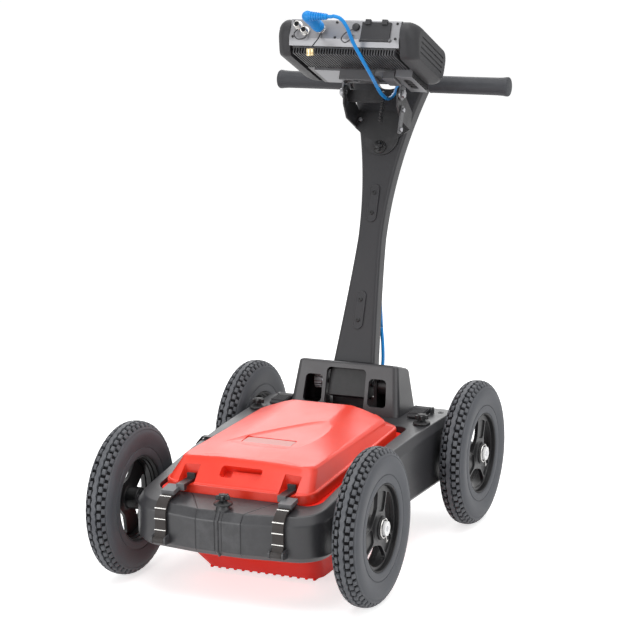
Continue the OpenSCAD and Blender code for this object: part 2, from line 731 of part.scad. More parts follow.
// Rear latches, ribbed rubber levers that lift at their front end
latch_x = open_half - 14;
latch_pin_y = axle_y - 30;
latch_pin_z = deck_h + 8;
latch_pin_d = 5;
module latch_lugs() {
    for (s = [-1, 1]) translate([latch_x + s * (latch_w / 2 + pass_gap + lug_t / 2), latch_pin_y, 0])
        block(-lug_t / 2, lug_t / 2, -7, 7, deck_h - 2, latch_pin_z + 6);
    translate([latch_x, latch_pin_y, latch_pin_z])
        rod_x(-latch_w / 2 - pass_gap - 1, latch_w / 2 + pass_gap + 1, latch_pin_d / 2);
}
latch_ribs = 6;
module latch(s) color(black) difference() {
    translate([s * latch_x - latch_w / 2, latch_pin_y, latch_pin_z]) {
        rod_x(0, latch_w, 7);
        block(0, latch_w, -latch_l, 0, -7, 1);
        for (i = [1:latch_ribs]) translate([0, -latch_l + 4 + 7 * i, 1]) rod_x(0, latch_w, 2);
    }
    translate([s * latch_x, latch_pin_y, latch_pin_z]) rod_x(-latch_w, latch_w, latch_pin_d / 2 + run_gap);
}
module latch_left() latch(-1);
module latch_right() latch(1);

// Clips over the outer edges of the side beams
clip_y = -60;
clip_w = 14;
clip_gauge = 3;
module beam_clips() color(black) sides() translate([0, clip_y - clip_w / 2, 0]) {
    out = side_half(clip_y + clip_w / 2) + 0.5;
    top = frame_top(clip_y + clip_w / 2) + 0.4;
    rotate([90, 0, 180]) mirror([1, 0, 0]) translate([0, 0, -clip_w]) linear_extrude(clip_w) polygon([
        [out - bevel - 26, top], [out - bevel, top], [out, top - bevel - 3], [out, top - 44],
        [out + clip_gauge, top - 44], [out + clip_gauge, top - bevel - 2],
        [out - bevel + 1, top + clip_gauge], [out - bevel - 26, top + clip_gauge]
    ]);
}

// Cowl round the foot of the mast
cowl_front = pin_y - 65;
cowl_rear = axle_y + 12;
cowl_lean = 29;
cowl_fall = 0.3;
function cowl_z(y, drop) = deck_h + cowl_h - cowl_fall * (y - cowl_front - cowl_lean) - drop;
function cowl_ring(half, y0, y1, r) = [
    for (p = rounded(half, (y1 - y0) / 2, r)) [p[0], p[1] + (y0 + y1) / 2]
];
function cowl_loops(g) = let(
    foot = cowl_ring(cowl_w / 2 - g, cowl_front + g, cowl_rear - g, 14),
    head = cowl_ring(cowl_top_w / 2 - g, cowl_front + cowl_lean - 2 + g, cowl_rear - 4 - g, 12),
    top = cowl_ring(cowl_top_w / 2 - 6 - g, cowl_front + cowl_lean + 4 + g, cowl_rear - 9 - g, 9)
) [
    lift(foot, deck_h - (g > 0 ? 1 : 0)),
    [for (p = head) [p[0], p[1], cowl_z(p[1], 7 + g)]],
    [for (p = top) [p[0], p[1], cowl_z(p[1], g)]]
];
mast_way = foot_half + 6;
recess_half = foot_half - 2;
window_in = recess_half + 8;
window_out = cowl_top_w / 2 - 19;
module cowl() color(charcoal) difference() {
    loft(cowl_loops(0));
    loft(cowl_loops(cowl_wall));
    on_mast() block(-mast_way, mast_way, front_n - 9, 2 * cowl_h, 10, 2 * cowl_h);
    block(-mast_way, mast_way, pin_y, cowl_rear + cowl_wall, deck_h - 1, deck_h + 2 * cowl_h);
    block(-recess_half, recess_half, cowl_front - 10, pin_y - 12, deck_h + 8, deck_h + cowl_h - 14);
    sides() block(window_in, window_out, cowl_front - 10, pin_y - 12, deck_h + 18, deck_h + 78);
}

// Fold hinge
bracket_in = foot_half + 8;
bracket_t = 8;
bracket_out = bracket_in + bracket_t;
fold_r = fold_pin_d / 2;
boss_l = 24;
module hinge_brackets() color(silver) difference() {
    for (s = [-1, 1]) scale_x(s) {
        block(bracket_in, bracket_out, pin_y - 26, pin_y + 26, deck_h, pin_h);
        translate([0, pin_y, pin_h]) rod_x(bracket_in, bracket_out, 26);
        if (s > 0) translate([0, pin_y, pin_h]) rod_x(bracket_out - 1, bracket_out + boss_l, 20);
    }
    translate([0, pin_y, pin_h]) rod_x(-2 * bracket_out, 2 * bracket_out, fold_r + run_gap);
}
module hinge_pin() color(silver) translate([0, pin_y, pin_h]) {
    rod_x(-bracket_out - boss_l - 4, bracket_out + boss_l + 1, fold_r);
    translate([bracket_out + boss_l, 0, 0]) rod_x(0, 6, fold_r + 5, $fn = 6);
}
fold_knob_r = 19;
fold_ribs = 18;
rib_r = 2;
rib_start = 6;
module fold_knob() color(silver) translate([-bracket_out - pass_gap, pin_y, pin_h]) difference() {
    union() {
        rod_x(-boss_l, 0, fold_knob_r - 2.5);
        rotate([0, -90, 0]) translate([0, 0, rib_start])
            linear_extrude(boss_l - rib_start) lobed(fold_knob_r - rib_r, rib_r, fold_ribs);
    }
    rod_x(-boss_l - 5, 5, fold_r + run_gap);
}

// Mast
function half_at(t) = t < waist_t
    ? waist_half + (foot_half - waist_half) * pow((waist_t - t) / (waist_t - foot_top), 1.25)
    : waist_half + (head_half - waist_half) * pow((t - waist_t) / (bar_t - waist_t), 2);
function mast_loop(t, g) = lift(rounded(half_at(min(t, bar_t)) - g, mast_t / 2 - g, 9 - g), t);
mast_wall = 6;
mast_steps = 22;
bore_top = mast_l - 190;
module mast_blade() color(charcoal) on_mast() difference() {
    loft([for (i = [0:mast_steps]) mast_loop(foot_top + (mast_top - foot_top) * i / mast_steps, 0)]);
    loft([for (i = [0:mast_steps])
        mast_loop(foot_top - 1 + (bore_top - foot_top + 1) * i / mast_steps, mast_wall)]);
    translate([0, 0, bar_t + notch_half - 20]) rotate([90, 0, 0])
        cylinder(h = mast_t + 20, r = notch_half, center = true);
    block(-notch_half, notch_half, -mast_t, mast_t, bar_t + notch_half - 20, mast_top + 20);
    translate([0, 0, bar_t]) rod_x(-bar_half, bar_half, bar_d / 2 + run_gap);
    translate([0, front_n - 1, knob_t]) rod_y(0, stud_l + 2, stud_d / 2 + run_gap);
}
knob_drop = 154;
knob_t = mast_l - knob_drop;
foot_face = 34;
foot_plate = 36;
module mast_foot() color(black) on_mast() difference() {
    rotate([90, 0, 90]) translate([0, 0, 3 - foot_half]) linear_extrude(2 * foot_half - 6) {
        circle(28);
        translate([-mast_t / 2 + 2, 0]) square([mast_t - 4, foot_top]);
        translate([-foot_face, -foot_face]) square([foot_face, foot_face + foot_plate]);
    }
    rod_x(-foot_half, foot_half, fold_r + run_gap);
}
cover_ts = [0.235 * mast_l, 0.59 * mast_l];
cover_w = 24;
cover_l = 86;
cover_t = 3;
module mast_covers() color(charcoal) on_mast() for (t = cover_ts)
    translate([0, front_n, t]) rotate([90, 0, 0])
        linear_extrude(cover_t) slab(cover_w, cover_l, cover_w / 2 - 0.1);
module mast_screws() color(black) on_mast() for (t = cover_ts, s = [-1, 1])
    translate([0, front_n - cover_t, t + s * 23]) rotate([90, 0, 0]) cylinder(h = 2.5, d = 9);
bar_in = notch_half - 4;
module handle_bars() color(black) on_mast() translate([0, 0, bar_t]) sides() difference() {
    rod_x(bar_in, bar_half - 4, bar_d / 2);
    rod_x(bar_in - 1, bar_half, bar_d / 2 - 2.5);
}
module handle_grips() color(black) on_mast() translate([0, 0, bar_t]) sides()
    translate([head_half + 1, 0, 0]) rotate([0, 90, 0]) grip(bar_half - head_half - 1);
module grip(l) rotate_extrude() polygon([
    [bar_d / 2 + run_gap, 0], [grip_d / 2 - 2, 0], [grip_d / 2, 2], [grip_d / 2, l - 16],
    [grip_d / 2 + 1.5, l - 8], [grip_d / 2 + 1.5, l - 3], [grip_d / 2 - 1.5, l], [0, l],
    [0, l - 4 + run_gap], [bar_d / 2 + run_gap, l - 4 + run_gap]
]);

// Yoke on the mast head
tongue_r = 42;
tongue_drop = 130;
tongue_t = mast_l - tongue_drop;
wing_half = yoke_half + yoke_t;
wing_low = tongue_t + 2;
wing_high = wing_low + 56;
eye_r = 16;
cross_end = 18;
module yoke() color(black) on_mast() difference() {
    union() {
        translate([0, front_n, 0]) rotate([90, 0, 0]) linear_extrude(yoke_t) union() {
            translate([0, tongue_t]) circle(tongue_r);
            polygon([[-tongue_r, tongue_t], [tongue_r, tongue_t], [wing_half, wing_low + 16],
                [wing_half, wing_high], [-wing_half, wing_high], [-wing_half, wing_low + 16]]);
        }
        sides() translate([yoke_half, 0, 0]) rotate([90, 0, 90]) linear_extrude(yoke_t) {
            translate([tilt_n, tilt_t]) circle(eye_r);
            polygon([[front_n, wing_low + 16], [front_n, wing_high], [tilt_n + 6, tilt_t + eye_r - 1.2],
                [tilt_n - eye_r, tilt_t], [tilt_n - 6, tilt_t - 28], [tilt_n + 22, wing_low + 24]]);
        }
        block(-yoke_half - 1, cross_end, tilt_n + 13, tilt_n + 19, tilt_t - 18, tilt_t + 9);
    }
    translate([0, tilt_n, tilt_t]) rod_x(-2 * wing_half, 2 * wing_half, tilt_bolt_d / 2 + run_gap);
    translate([0, front_n - yoke_t - 1, knob_t]) rod_y(0, yoke_t + 2, stud_d / 2 + run_gap);
}
ear_in = wing_half + pass_gap;
ear_t = 4;
bolt_seat = ear_in + ear_t + pass_gap;
module yoke_bolts() color(silver) on_mast() translate([0, tilt_n, tilt_t]) sides() {
    rod_x(yoke_half, bolt_seat + 1, tilt_bolt_d / 2);
    rod_x(bolt_seat, bolt_seat + 6, tilt_bolt_d / 2 + 4, $fn = 6);
}
module tilt_knob() color(black) on_mast() translate([0, front_n - yoke_t, knob_t]) rotate([90, 0, 0])
    star_knob(knob_d * 0.8, knob_h * 0.8, stud_l);

// Controller
case_low = -ctl_t + fin_h + 4;
hump_y = 0.48 * ctl_d;
battery_w = 38;
case_wall = 4;
module case_slab(half, y0, y1, z0, z1, r) {
    translate([0, (y0 + y1) / 2, z0]) linear_extrude(z1 - z0) slab(2 * half, y1 - y0, r);
}
module controller_case() color(charcoal) on_controller() difference() {
    union() {
        case_slab(case_half, case_wall, ctl_d - 4, case_low, 0, 3);
        block(-case_half + 6, case_half - battery_w - pass_gap, hump_y, ctl_d - 8, -ctl_t, case_low + 1);
    }
    block(-case_half + case_wall, case_half - case_wall, 0, ctl_d - 10, case_low + case_wall, -case_wall);
    translate([dial_x, dial_y, -case_wall - 1]) cylinder(h = case_wall + 2, d = dial_stud_d + 2 * run_gap);
}
fin_pitch = (2 * case_half - 16) / fins;
fin_w = fin_pitch * 0.45;
fin_half = case_half - 8;
module heat_sink() color(black) on_controller() {
    block(-fin_half, fin_half, 6, hump_y - 2, case_low - 4, case_low);
    for (i = [0:fins - 1]) translate([-fin_half + fin_pitch * (i + 0.5), 0, 0])
        block(-fin_w / 2, fin_w / 2, 6, hump_y - 2, -ctl_t, case_low - 3.9);
}
panel_t = 7;
door_x0 = case_half - 87;
door_x1 = door_x0 + 66;
door_low = -48;
door_pin_y = case_wall - panel_t - 3.6;
door_pin_r = 1.5;
module connector_panel() color(silver) on_controller() {
    translate([-case_half, 0, 0]) rotate([90, 0, 90]) linear_extrude(2 * case_half) polygon([
        [case_wall, 0], [case_wall - panel_t + 2, -2], [case_wall - panel_t, -6],
        [case_wall - panel_t, door_low + 4], [case_wall, case_low]
    ]);
    for (x = [door_x0 - pass_gap - 2, door_x1 + pass_gap])
        block(x, x + 2, door_pin_y - 2, case_wall - 1, door_low - 2, door_low + 3);
    translate([0, door_pin_y, door_low]) rod_x(door_x0 - pass_gap - 1, door_x1 + pass_gap + 1, door_pin_r);
}
door_t = 4;
door_back = case_wall - panel_t - pass_gap;
module port_door() color(black) on_controller() difference() {
    union() {
        block(door_x0, door_x1, door_back - door_t, door_back, door_low, -7);
        translate([0, door_pin_y, door_low]) rod_x(door_x0, door_x1, 3);
        for (x = [door_x0 + 8, door_x1 - 20])
            block(x, x + 12, door_back - door_t - 4, door_back - 1, -13, -2);
    }
    translate([0, door_pin_y, door_low]) rod_x(door_x0 - 1, door_x1 + 1, door_pin_r + run_gap);
}
bumper_out = [
    [10, 3], [-6, -12], [-6, -34], [14, -ctl_t + 6], [22, -ctl_t - 2], [ctl_d - 16, -ctl_t - 2],
    [ctl_d + 4, -ctl_t + 16], [ctl_d + 4, -14], [ctl_d - 10, 3]
];
function bumper_loop(x, share) = [
    for (p = bumper_out) [x, ctl_d / 2 + (p[0] - ctl_d / 2) * share, -ctl_t / 2 + (p[1] + ctl_t / 2) * share]
];
module bumpers() color(charcoal) on_controller() sides() translate([case_half, 0, 0]) loft([
    bumper_loop(0, 1), bumper_loop(bumper_w / 2, 1), bumper_loop(bumper_w * 0.85, 0.88),
    bumper_loop(bumper_w, 0.74)
]);
battery_low = -ctl_t - 12;
battery_ribs = 6;
module battery_pack() color([0.25, 0.25, 0.26]) on_controller() {
    x0 = case_half - battery_w;
    block(x0, case_half - pass_gap, hump_y, ctl_d - 8, battery_low, case_low);
    for (i = [0:battery_ribs - 1])
        translate([0, hump_y + 10 + i * (ctl_d - hump_y - 32) / (battery_ribs - 1), 0])
            block(x0, case_half - pass_gap, 0, 6, battery_low - 2.5, battery_low + 1);
}
glass_t = 3;
key_x0 = case_half - 52;
module screen_glass() color([0.05, 0.06, 0.08]) on_controller()
    block(-case_half + 12, key_x0 - 8, 34, ctl_d - 30, 0, glass_t);
module keypad() color(black) on_controller() difference() {
    union() {
        block(key_x0, case_half - 8, 34, ctl_d - 30, 0, 2);
        for (i = [0:1], j = [0:3]) translate([key_x0 + 11 + 22 * i, ctl_d - 52 - 18 * j, 1])
            linear_extrude(3) slab(17, 12, 3);
    }
    translate([dial_x, dial_y, -1]) cylinder(h = 6, d = dial_stud_d + 2);
}
dial_d = 32;
dial_stud_d = 6;
dial_x = key_x0 + 22;
dial_y = 66;
module jog_dial() color(black) on_controller() translate([dial_x, dial_y, 2 + pass_gap]) {
    cylinder(h = 12, d = dial_d - 1);
    linear_extrude(9) lobed(dial_d / 2, 0.8, 24);
    translate([0, 0, -2 - pass_gap - case_wall]) cylinder(h = 3 + case_wall, d = dial_stud_d);
}
// Sockets along the connector edge
plug_x = -54;
plug_z = -24;
socket_y = case_wall - panel_t;
socket_l = 15;
module connectors() color(silver) on_controller() {
    for (p = [[-case_half + 19, -18], [-case_half + 37, -30], [plug_x, plug_z]]) translate([p[0], 0, p[1]]) {
        rod_y(socket_y - socket_l, socket_y, 7.5);
        rod_y(socket_y - 4, socket_y, 10);
    }
    translate([door_x0 - 14, 0, -18]) rod_y(socket_y - 6, socket_y, 8);
    tube(smooth(cap_tether, 4), 2.4, 6);
    translate(cap_tether[len(cap_tether) - 1]) rotate([ctl_tilt, 0, 0]) translate([0, 0, -15])
        cylinder(h = 15.5, d = 18);
}
// A dust cap hangs on its tether from the socket in use
cap_tether = [[plug_x, socket_y - 2, plug_z - 10.5], [plug_x, -14, plug_z - 26], [plug_x, -44, -82]];
plug_l = 66;
plug_d = 25;
elbow_y = socket_y - socket_l - plug_l;
boot_l = 46;
module cable_plug() color(blue) on_controller() {
    translate([plug_x, 0, plug_z]) {
        rod_y(elbow_y, socket_y - socket_l, plug_d / 2);
        translate([0, elbow_y, 0]) sphere(plug_d / 2);
        translate([0, elbow_y, 0]) rotate([0, 90, 0]) cylinder(h = boot_l, r1 = 10.5, r2 = cable_d / 2 + 2);
    }
}
module cradle() color([0.45, 0.45, 0.47]) on_controller() difference() {
    union() {
        block(-case_half + 20, case_half - battery_w - 6, hump_y + 6, ctl_d - 20, -ctl_t - 4, -ctl_t);
        sides() {
            block(ear_in, ear_in + ear_t, tilt_ly - 14, tilt_ly + 14, tilt_lz, -ctl_t - 3);
            translate([0, tilt_ly, tilt_lz]) rod_x(ear_in, ear_in + ear_t, 14);
        }
    }
    translate([0, tilt_ly, tilt_lz]) rod_x(-2 * wing_half, 2 * wing_half, tilt_bolt_d / 2 + run_gap);
    sides() translate([30, (hump_y + ctl_d) / 2, -ctl_t - 5]) linear_extrude(8) slab(16, 50, 7.9);
}

// Blue cable, from the boot through the notch in the mast head and down behind the mast
cable_route = [[-8, 147, 1117], [0, 147, 1117], [8, 147, 1117], [26, 154, 1103], [42, 171, 1063],
    [53, 202, 1014], [50, 248, 980], [45, 302, 957], [40, 350, 932], [36, 395, 916], [30, 440, 926],
    [24, 474, 950], [19, 506, 950], [16, 530, 926], [15, 520, 890], [18, 464, 762], [24, 422, 648],
    [32, 378, 526], [40, 338, 413]];
foot_route = [[40, 338, 412], [43, 326, 375], [44, 313, 335], [42, 300, 306], [42, 292, 290], [42, 292, 277],
    [42, 292, 264]];
cable_sides = 8;
gland_h = 18;
gland_d = 24;
module cable_upper() color(blue) tube(smooth(cable_route, 3), cable_d, cable_sides);
module cable_lower() color(blue) tube(smooth(foot_route, 3), cable_d, cable_sides);
gland_x = 42;
module cable_gland() color(black) translate([gland_x, axle_y, deck_h]) {
    cylinder(h = gland_h * 0.4, d = gland_d, $fn = 6);
    cylinder(h = gland_h, d = gland_d * 0.7);
}

module tyre_front_left() at_wheel(-1, -1) tyre();
module tyre_front_right() at_wheel(1, -1) tyre();
module tyre_rear_left() at_wheel(-1, 1) tyre();
module tyre_rear_right() at_wheel(1, 1) tyre();
module rim_front_left() at_wheel(-1, -1) rim();
module rim_front_right() at_wheel(1, -1) rim();
module rim_rear_left() at_wheel(-1, 1) rim();
module rim_rear_right() at_wheel(1, 1) rim();
module bearings_front_left() at_wheel(-1, -1) bearings();
module bearings_front_right() at_wheel(1, -1) bearings();
module bearings_rear_left() at_wheel(-1, 1) bearings();
module bearings_rear_right() at_wheel(1, 1) bearings();

placed() chassis_frame();
placed() stub_axles();
placed() axle_caps();
placed() axle_clips();
placed() antenna_pan();
placed() antenna_lid();
placed() antenna_board();
placed() antenna_dipoles();
placed() cable_gland();
placed() cowl();
placed() hinge_brackets();
placed() hinge_pin();
placed() beam_clips();
placed() encoder_sensor();
placed() cable_lower();
placed() tyre_front_left();
placed() tyre_front_right();
placed() tyre_rear_left();
placed() tyre_rear_right();
placed() rim_front_left();
placed() rim_front_right();
placed() rim_rear_left();
placed() rim_rear_right();
placed() bearings_front_left();
placed() bearings_front_right();
placed() bearings_rear_left();
placed() bearings_rear_right();
placed() encoder_ring();
placed() strap_left();
placed() strap_right();
placed() buckle_left();
placed() buckle_right();
placed() latch_left();
placed() latch_right();
placed() front_knob();
placed() rear_knob_left();
placed() rear_knob_right();
placed() fold_knob();
placed() tilt_knob();
placed() mast_blade();
placed() mast_foot();
placed() mast_covers();
placed() mast_screws();
placed() handle_bars();
placed() handle_grips();
placed() yoke();
placed() yoke_bolts();
placed() cable_upper();
placed() controller_case();
placed() heat_sink();
placed() connector_panel();
placed() bumpers();
placed() battery_pack();
placed() screen_glass();
placed() keypad();
placed() port_door();
placed() connectors();
placed() cradle();
placed() cable_plug();
placed() jog_dial();
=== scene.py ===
import json
import math

import bmesh
import bpy
from mathutils import Matrix, Vector


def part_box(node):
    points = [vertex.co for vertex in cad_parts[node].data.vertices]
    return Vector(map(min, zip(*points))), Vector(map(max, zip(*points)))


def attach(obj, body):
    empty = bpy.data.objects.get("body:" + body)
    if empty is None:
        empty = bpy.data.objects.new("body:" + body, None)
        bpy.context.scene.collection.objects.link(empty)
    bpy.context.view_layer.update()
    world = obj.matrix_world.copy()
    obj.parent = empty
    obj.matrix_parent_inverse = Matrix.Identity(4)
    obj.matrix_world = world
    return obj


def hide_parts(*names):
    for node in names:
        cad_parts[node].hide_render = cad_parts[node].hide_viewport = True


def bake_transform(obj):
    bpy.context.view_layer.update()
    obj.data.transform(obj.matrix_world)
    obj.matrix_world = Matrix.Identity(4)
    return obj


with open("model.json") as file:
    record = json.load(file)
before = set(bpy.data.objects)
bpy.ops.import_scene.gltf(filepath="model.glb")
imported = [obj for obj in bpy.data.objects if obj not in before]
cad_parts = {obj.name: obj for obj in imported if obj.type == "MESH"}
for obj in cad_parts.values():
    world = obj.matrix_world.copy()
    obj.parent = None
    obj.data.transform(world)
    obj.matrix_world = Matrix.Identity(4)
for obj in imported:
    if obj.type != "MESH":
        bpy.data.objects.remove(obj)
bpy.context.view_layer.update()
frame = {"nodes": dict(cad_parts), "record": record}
nodes = frame["nodes"]
print("frame loaded:", len(nodes), "nodes")


def shift(x, y, z):
    return Matrix.Translation((x, y, z))


def spin(degrees, axis):
    return Matrix.Rotation(math.radians(degrees), 4, axis)


def polar(radius, turn):
    return radius * math.cos(turn), radius * math.sin(turn)


def middleOf(node):
    low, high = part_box(node)
    return (low + high) / 2


# Places are written in millimetres from the middle of the wheelbase, front towards -Y
mm = 0.001
toMetres, toMillimetres = Matrix.Scale(mm, 4), Matrix.Scale(1 / mm, 4)
midY = (middleOf("tyre_front_right").y + middleOf("tyre_rear_right").y) / 2
cart = shift(0, midY, 0) @ toMetres
mastSetup = {"pinY": 258, "pinZ": 300, "lean": 20, "thick": 42}
mastFrame = cart @ shift(0, mastSetup["pinY"], mastSetup["pinZ"]) @ spin(-mastSetup["lean"], "X")
controlSetup = {"tilt": (0, -105, 635), "slope": 24, "axis": (0, 201, -99)}
tiltPoint = toMillimetres @ mastFrame @ Vector(controlSetup["tilt"])
controlFrame = (toMetres @ Matrix.Translation(tiltPoint) @ spin(-controlSetup["slope"], "X")
                @ Matrix.Translation(-Vector(controlSetup["axis"])))
faceOut = spin(90, "X")
wheelSetup = {"x": 268.5, "y": 292, "z": 159}
corners = {"front_left": (-1, -1), "front_right": (1, -1), "rear_left": (-1, 1), "rear_right": (1, 1)}
hands = {"left": -1, "right": 1}


def wheelFrame(side, end):
    hub = shift(side * wheelSetup["x"], end * wheelSetup["y"], wheelSetup["z"])
    return cart @ hub @ spin(90 * side, "Y")


# Camera at the photograph's viewing angle
cameraSetup = {"azimuth": 24.03, "elevation": 11.92, "roll": -0.63, "distance": 4.54081,
               "aim": (9.96, 0, 516.72), "focalPixels": 2166.05, "framePixels": 620, "sensor": 36,
               "farthest": 100}


def addCamera():
    c = cameraSetup
    az, el, roll = (math.radians(c[key]) for key in ("azimuth", "elevation", "roll"))
    back = Vector((math.sin(az) * math.cos(el), -math.cos(az) * math.cos(el), math.sin(el)))
    right = Vector((math.cos(az), math.sin(az), 0))
    up = back.cross(right)
    turn = Matrix((right * math.cos(roll) + up * math.sin(roll),
                   up * math.cos(roll) - right * math.sin(roll), back)).transposed().to_4x4()
    bpy.ops.object.camera_add()
    camera = bpy.context.object
    camera.matrix_world = Matrix.Translation(cart @ Vector(c["aim"]) + back * c["distance"]) @ turn
    camera.data.sensor_width = c["sensor"]
    camera.data.lens = c["focalPixels"] * c["sensor"] / c["framePixels"]
    camera.data.clip_end = c["farthest"]
    bpy.context.scene.camera = camera


addCamera()
bpy.context.scene.view_settings.view_transform = "Standard"


# Modelling tools
def makeActive(obj):
    bpy.ops.object.select_all(action="DESELECT")
    obj.select_set(True)
    bpy.context.view_layer.objects.active = obj


def editAll(obj, *steps):
    # runs edit mode operators, each on the whole mesh
    makeActive(obj)
    bpy.ops.object.mode_set(mode="EDIT")
    for operator, settings in steps:
        bpy.ops.mesh.select_all(action="SELECT")
        operator(**settings)
    bpy.ops.object.mode_set(mode="OBJECT")
    return obj


def modify(obj, kind, **settings):
    makeActive(obj)
    modifier = obj.modifiers.new(kind.lower(), kind)
    for key, value in settings.items():
        setattr(modifier, key, value)
    bpy.ops.object.modifier_apply(modifier=modifier.name)
    return obj


def meshPiece(points, faces=(), edges=()):
    mesh = bpy.data.meshes.new("piece")
    mesh.from_pydata([tuple(p) for p in points], list(edges), list(faces))
    obj = bpy.data.objects.new("piece", mesh)
    bpy.context.scene.collection.objects.link(obj)
    return obj


def cleanMesh(obj, gap=0.0005):
    return editAll(obj, (bpy.ops.mesh.remove_doubles, {"threshold": gap}),
                   (bpy.ops.mesh.normals_make_consistent, {"inside": False}))


def lathe(profile, steps=64, closed=False):
    # turns a profile of (radius, height) about the Z axis
    count = len(profile)
    edges = [(i, (i + 1) % count) for i in range(count if closed else count - 1)]
    obj = meshPiece([(r, 0, z) for r, z in profile], edges=edges)
    return cleanMesh(editAll(obj, (bpy.ops.mesh.spin, {
        "steps": steps, "angle": 2 * math.pi, "center": (0, 0, 0), "axis": (0, 0, 1)})))


def prism(outline, low, high, rounding=0):
    # a flat outline, its corners rounded, pulled up into a solid
    obj = meshPiece([(x, y, low) for x, y in outline], [range(len(outline))])
    if rounding:
        editAll(obj, (bpy.ops.mesh.bevel, {
            "offset": rounding, "offset_type": "OFFSET", "segments": 4, "affect": "VERTICES"}))
    return cleanMesh(editAll(obj, (bpy.ops.mesh.extrude_region_move, {
        "TRANSFORM_OT_translate": {"value": (0, 0, high - low)}})))


def onSide(outline, x0, x1, rounding=0, segments=3):
    # an outline of (y, z) pulled along X
    obj = prism(outline, x0, x1)
    obj.data.transform(Matrix(((0, 0, 1, 0), (1, 0, 0, 0), (0, 1, 0, 0), (0, 0, 0, 1))))
    return roundEdges(obj, rounding, segments) if rounding else obj


def onFront(outline, y0, y1, rounding=0):
    # an outline of (x, z) pulled along Y
    obj = prism(outline, y0, y1, rounding)
    obj.data.transform(Matrix(((1, 0, 0, 0), (0, 0, 1, 0), (0, 1, 0, 0), (0, 0, 0, 1))))
    return cleanMesh(obj)


def box(x0, x1, y0, y1, z0, z1, rounding=0, segments=3):
    bpy.ops.mesh.primitive_cube_add(size=1)
    obj = bpy.context.object
    obj.data.transform(shift((x0 + x1) / 2, (y0 + y1) / 2, (z0 + z1) / 2)
                       @ Matrix.Diagonal((x1 - x0, y1 - y0, z1 - z0, 1)))
    return roundEdges(obj, rounding, segments) if rounding else obj


def rod(start, end, radius, sides=32, rounding=0):
    start, end = Vector(start), Vector(end)
    way = end - start
    bpy.ops.mesh.primitive_cone_add(vertices=sides, radius1=radius, radius2=radius, depth=way.length)
    obj = bpy.context.object
    turn = way.to_track_quat("Z", "Y").to_matrix().to_4x4()
    obj.data.transform(Matrix.Translation((start + end) / 2) @ turn)
    return roundEdges(obj, rounding, 2, 50) if rounding else obj


def roundEdges(obj, width, segments=2, angle=30):
    return modify(obj, "BEVEL", width=width, segments=segments, limit_method="ANGLE",
                  angle_limit=math.radians(angle), use_clamp_overlap=True, miter_outer="MITER_ARC")


def joinPieces(pieces):
    makeActive(pieces[0])
    for piece in pieces[1:]:
        piece.select_set(True)
    if len(pieces) > 1:
        bpy.ops.object.join()
    return bpy.context.object


def carve(obj, *others, how="DIFFERENCE"):
    for other in others:
        modify(obj, "BOOLEAN", object=other, operation=how, solver="EXACT")
        bpy.data.objects.remove(other)
    return obj


def wire(points, radius, sides=12):
    # a round wire along points, made as a curve and turned into a mesh
    curve = bpy.data.curves.new("wire", "CURVE")
    curve.dimensions = "3D"
    spline = curve.splines.new("POLY")
    spline.points.add(len(points) - 1)
    for place, p in zip(spline.points, points):
        place.co = (*p, 1)
    curve.bevel_depth = radius
    curve.bevel_resolution = max(1, sides // 4 - 1)
    curve.use_fill_caps = True
    obj = bpy.data.objects.new("wire", curve)
    bpy.context.scene.collection.objects.link(obj)
    makeActive(obj)
    bpy.ops.object.convert(target="MESH")
    return cleanMesh(bpy.context.object)


def smoothPath(points, steps):
    # one smooth curve through the points
    p = [Vector(q) for q in points]
    p = [p[0] * 2 - p[1], *p, p[-1] * 2 - p[-2]]
    path = []
    for a, b, c, d in zip(p, p[1:], p[2:], p[3:]):
        for k in range(steps):
            t = k / steps
            path.append(0.5 * (2 * b + (c - a) * t + (2 * a - 5 * b + 4 * c - d) * t * t
                               + (3 * b - a - 3 * c + d) * t ** 3))
    return path + [p[-2]]


def pathLength(path):
    return sum((b - a).length for a, b in zip(path, path[1:]))


def loft(loops, ring=False):
    # walls between neighbouring loops, closed by end faces or back to the first loop
    count, turns = len(loops[0]), len(loops)
    faces = []
    for i in range(turns if ring else turns - 1):
        a, b = i * count, (i + 1) % turns * count
        for j in range(count):
            k = (j + 1) % count
            faces.append((a + j, b + j, b + k, a + k))
    if not ring:
        faces += [tuple(range(count)), tuple(range(turns * count - 1, (turns - 1) * count - 1, -1))]
    return cleanMesh(meshPiece([p for loop in loops for p in loop], faces))


def arc(cx, cy, radius, start, steps):
    turns = [polar(radius, math.radians(start + 90 * i / steps)) for i in range(steps + 1)]
    return [(cx + x, cy + y) for x, y in turns]


def roundedLoop(halfX, halfY, radius, steps=6):
    x, y = halfX - radius, halfY - radius
    return [*arc(x, y, radius, 0, steps), *arc(-x, y, radius, 90, steps),
            *arc(-x, -y, radius, 180, steps), *arc(x, -y, radius, 270, steps)]


def filletCorners(points, reach, steps=5):
    # replaces each corner of an outline with a short curve
    made = []
    for i, corner in enumerate(points):
        cut = reach[i] if isinstance(reach, list) else reach
        here = Vector(corner)
        if not cut:
            made.append(tuple(here))
            continue
        before, after = Vector(points[i - 1]) - here, Vector(points[(i + 1) % len(points)]) - here
        start = here + before.normalized() * min(cut, before.length * 0.49)
        end = here + after.normalized() * min(cut, after.length * 0.49)
        for k in range(steps + 1):
            t = k / steps
            made.append(tuple(start * (1 - t) ** 2 + here * (2 * t * (1 - t)) + end * t * t))
    return made


def copyPiece(obj):
    twin = obj.copy()
    twin.data = obj.data.copy()
    bpy.context.scene.collection.objects.link(twin)
    return twin


def painted(obj, finish):
    # gives a piece its own finish before it is joined to others
    obj.data.materials.clear()
    obj.data.materials.append(finish)
    return obj


def turned(obj, placed):
    obj.data.transform(placed)
    return obj


def camel(node):
    first, *rest = node.split("_")
    return first + "".join(word.title() for word in rest)


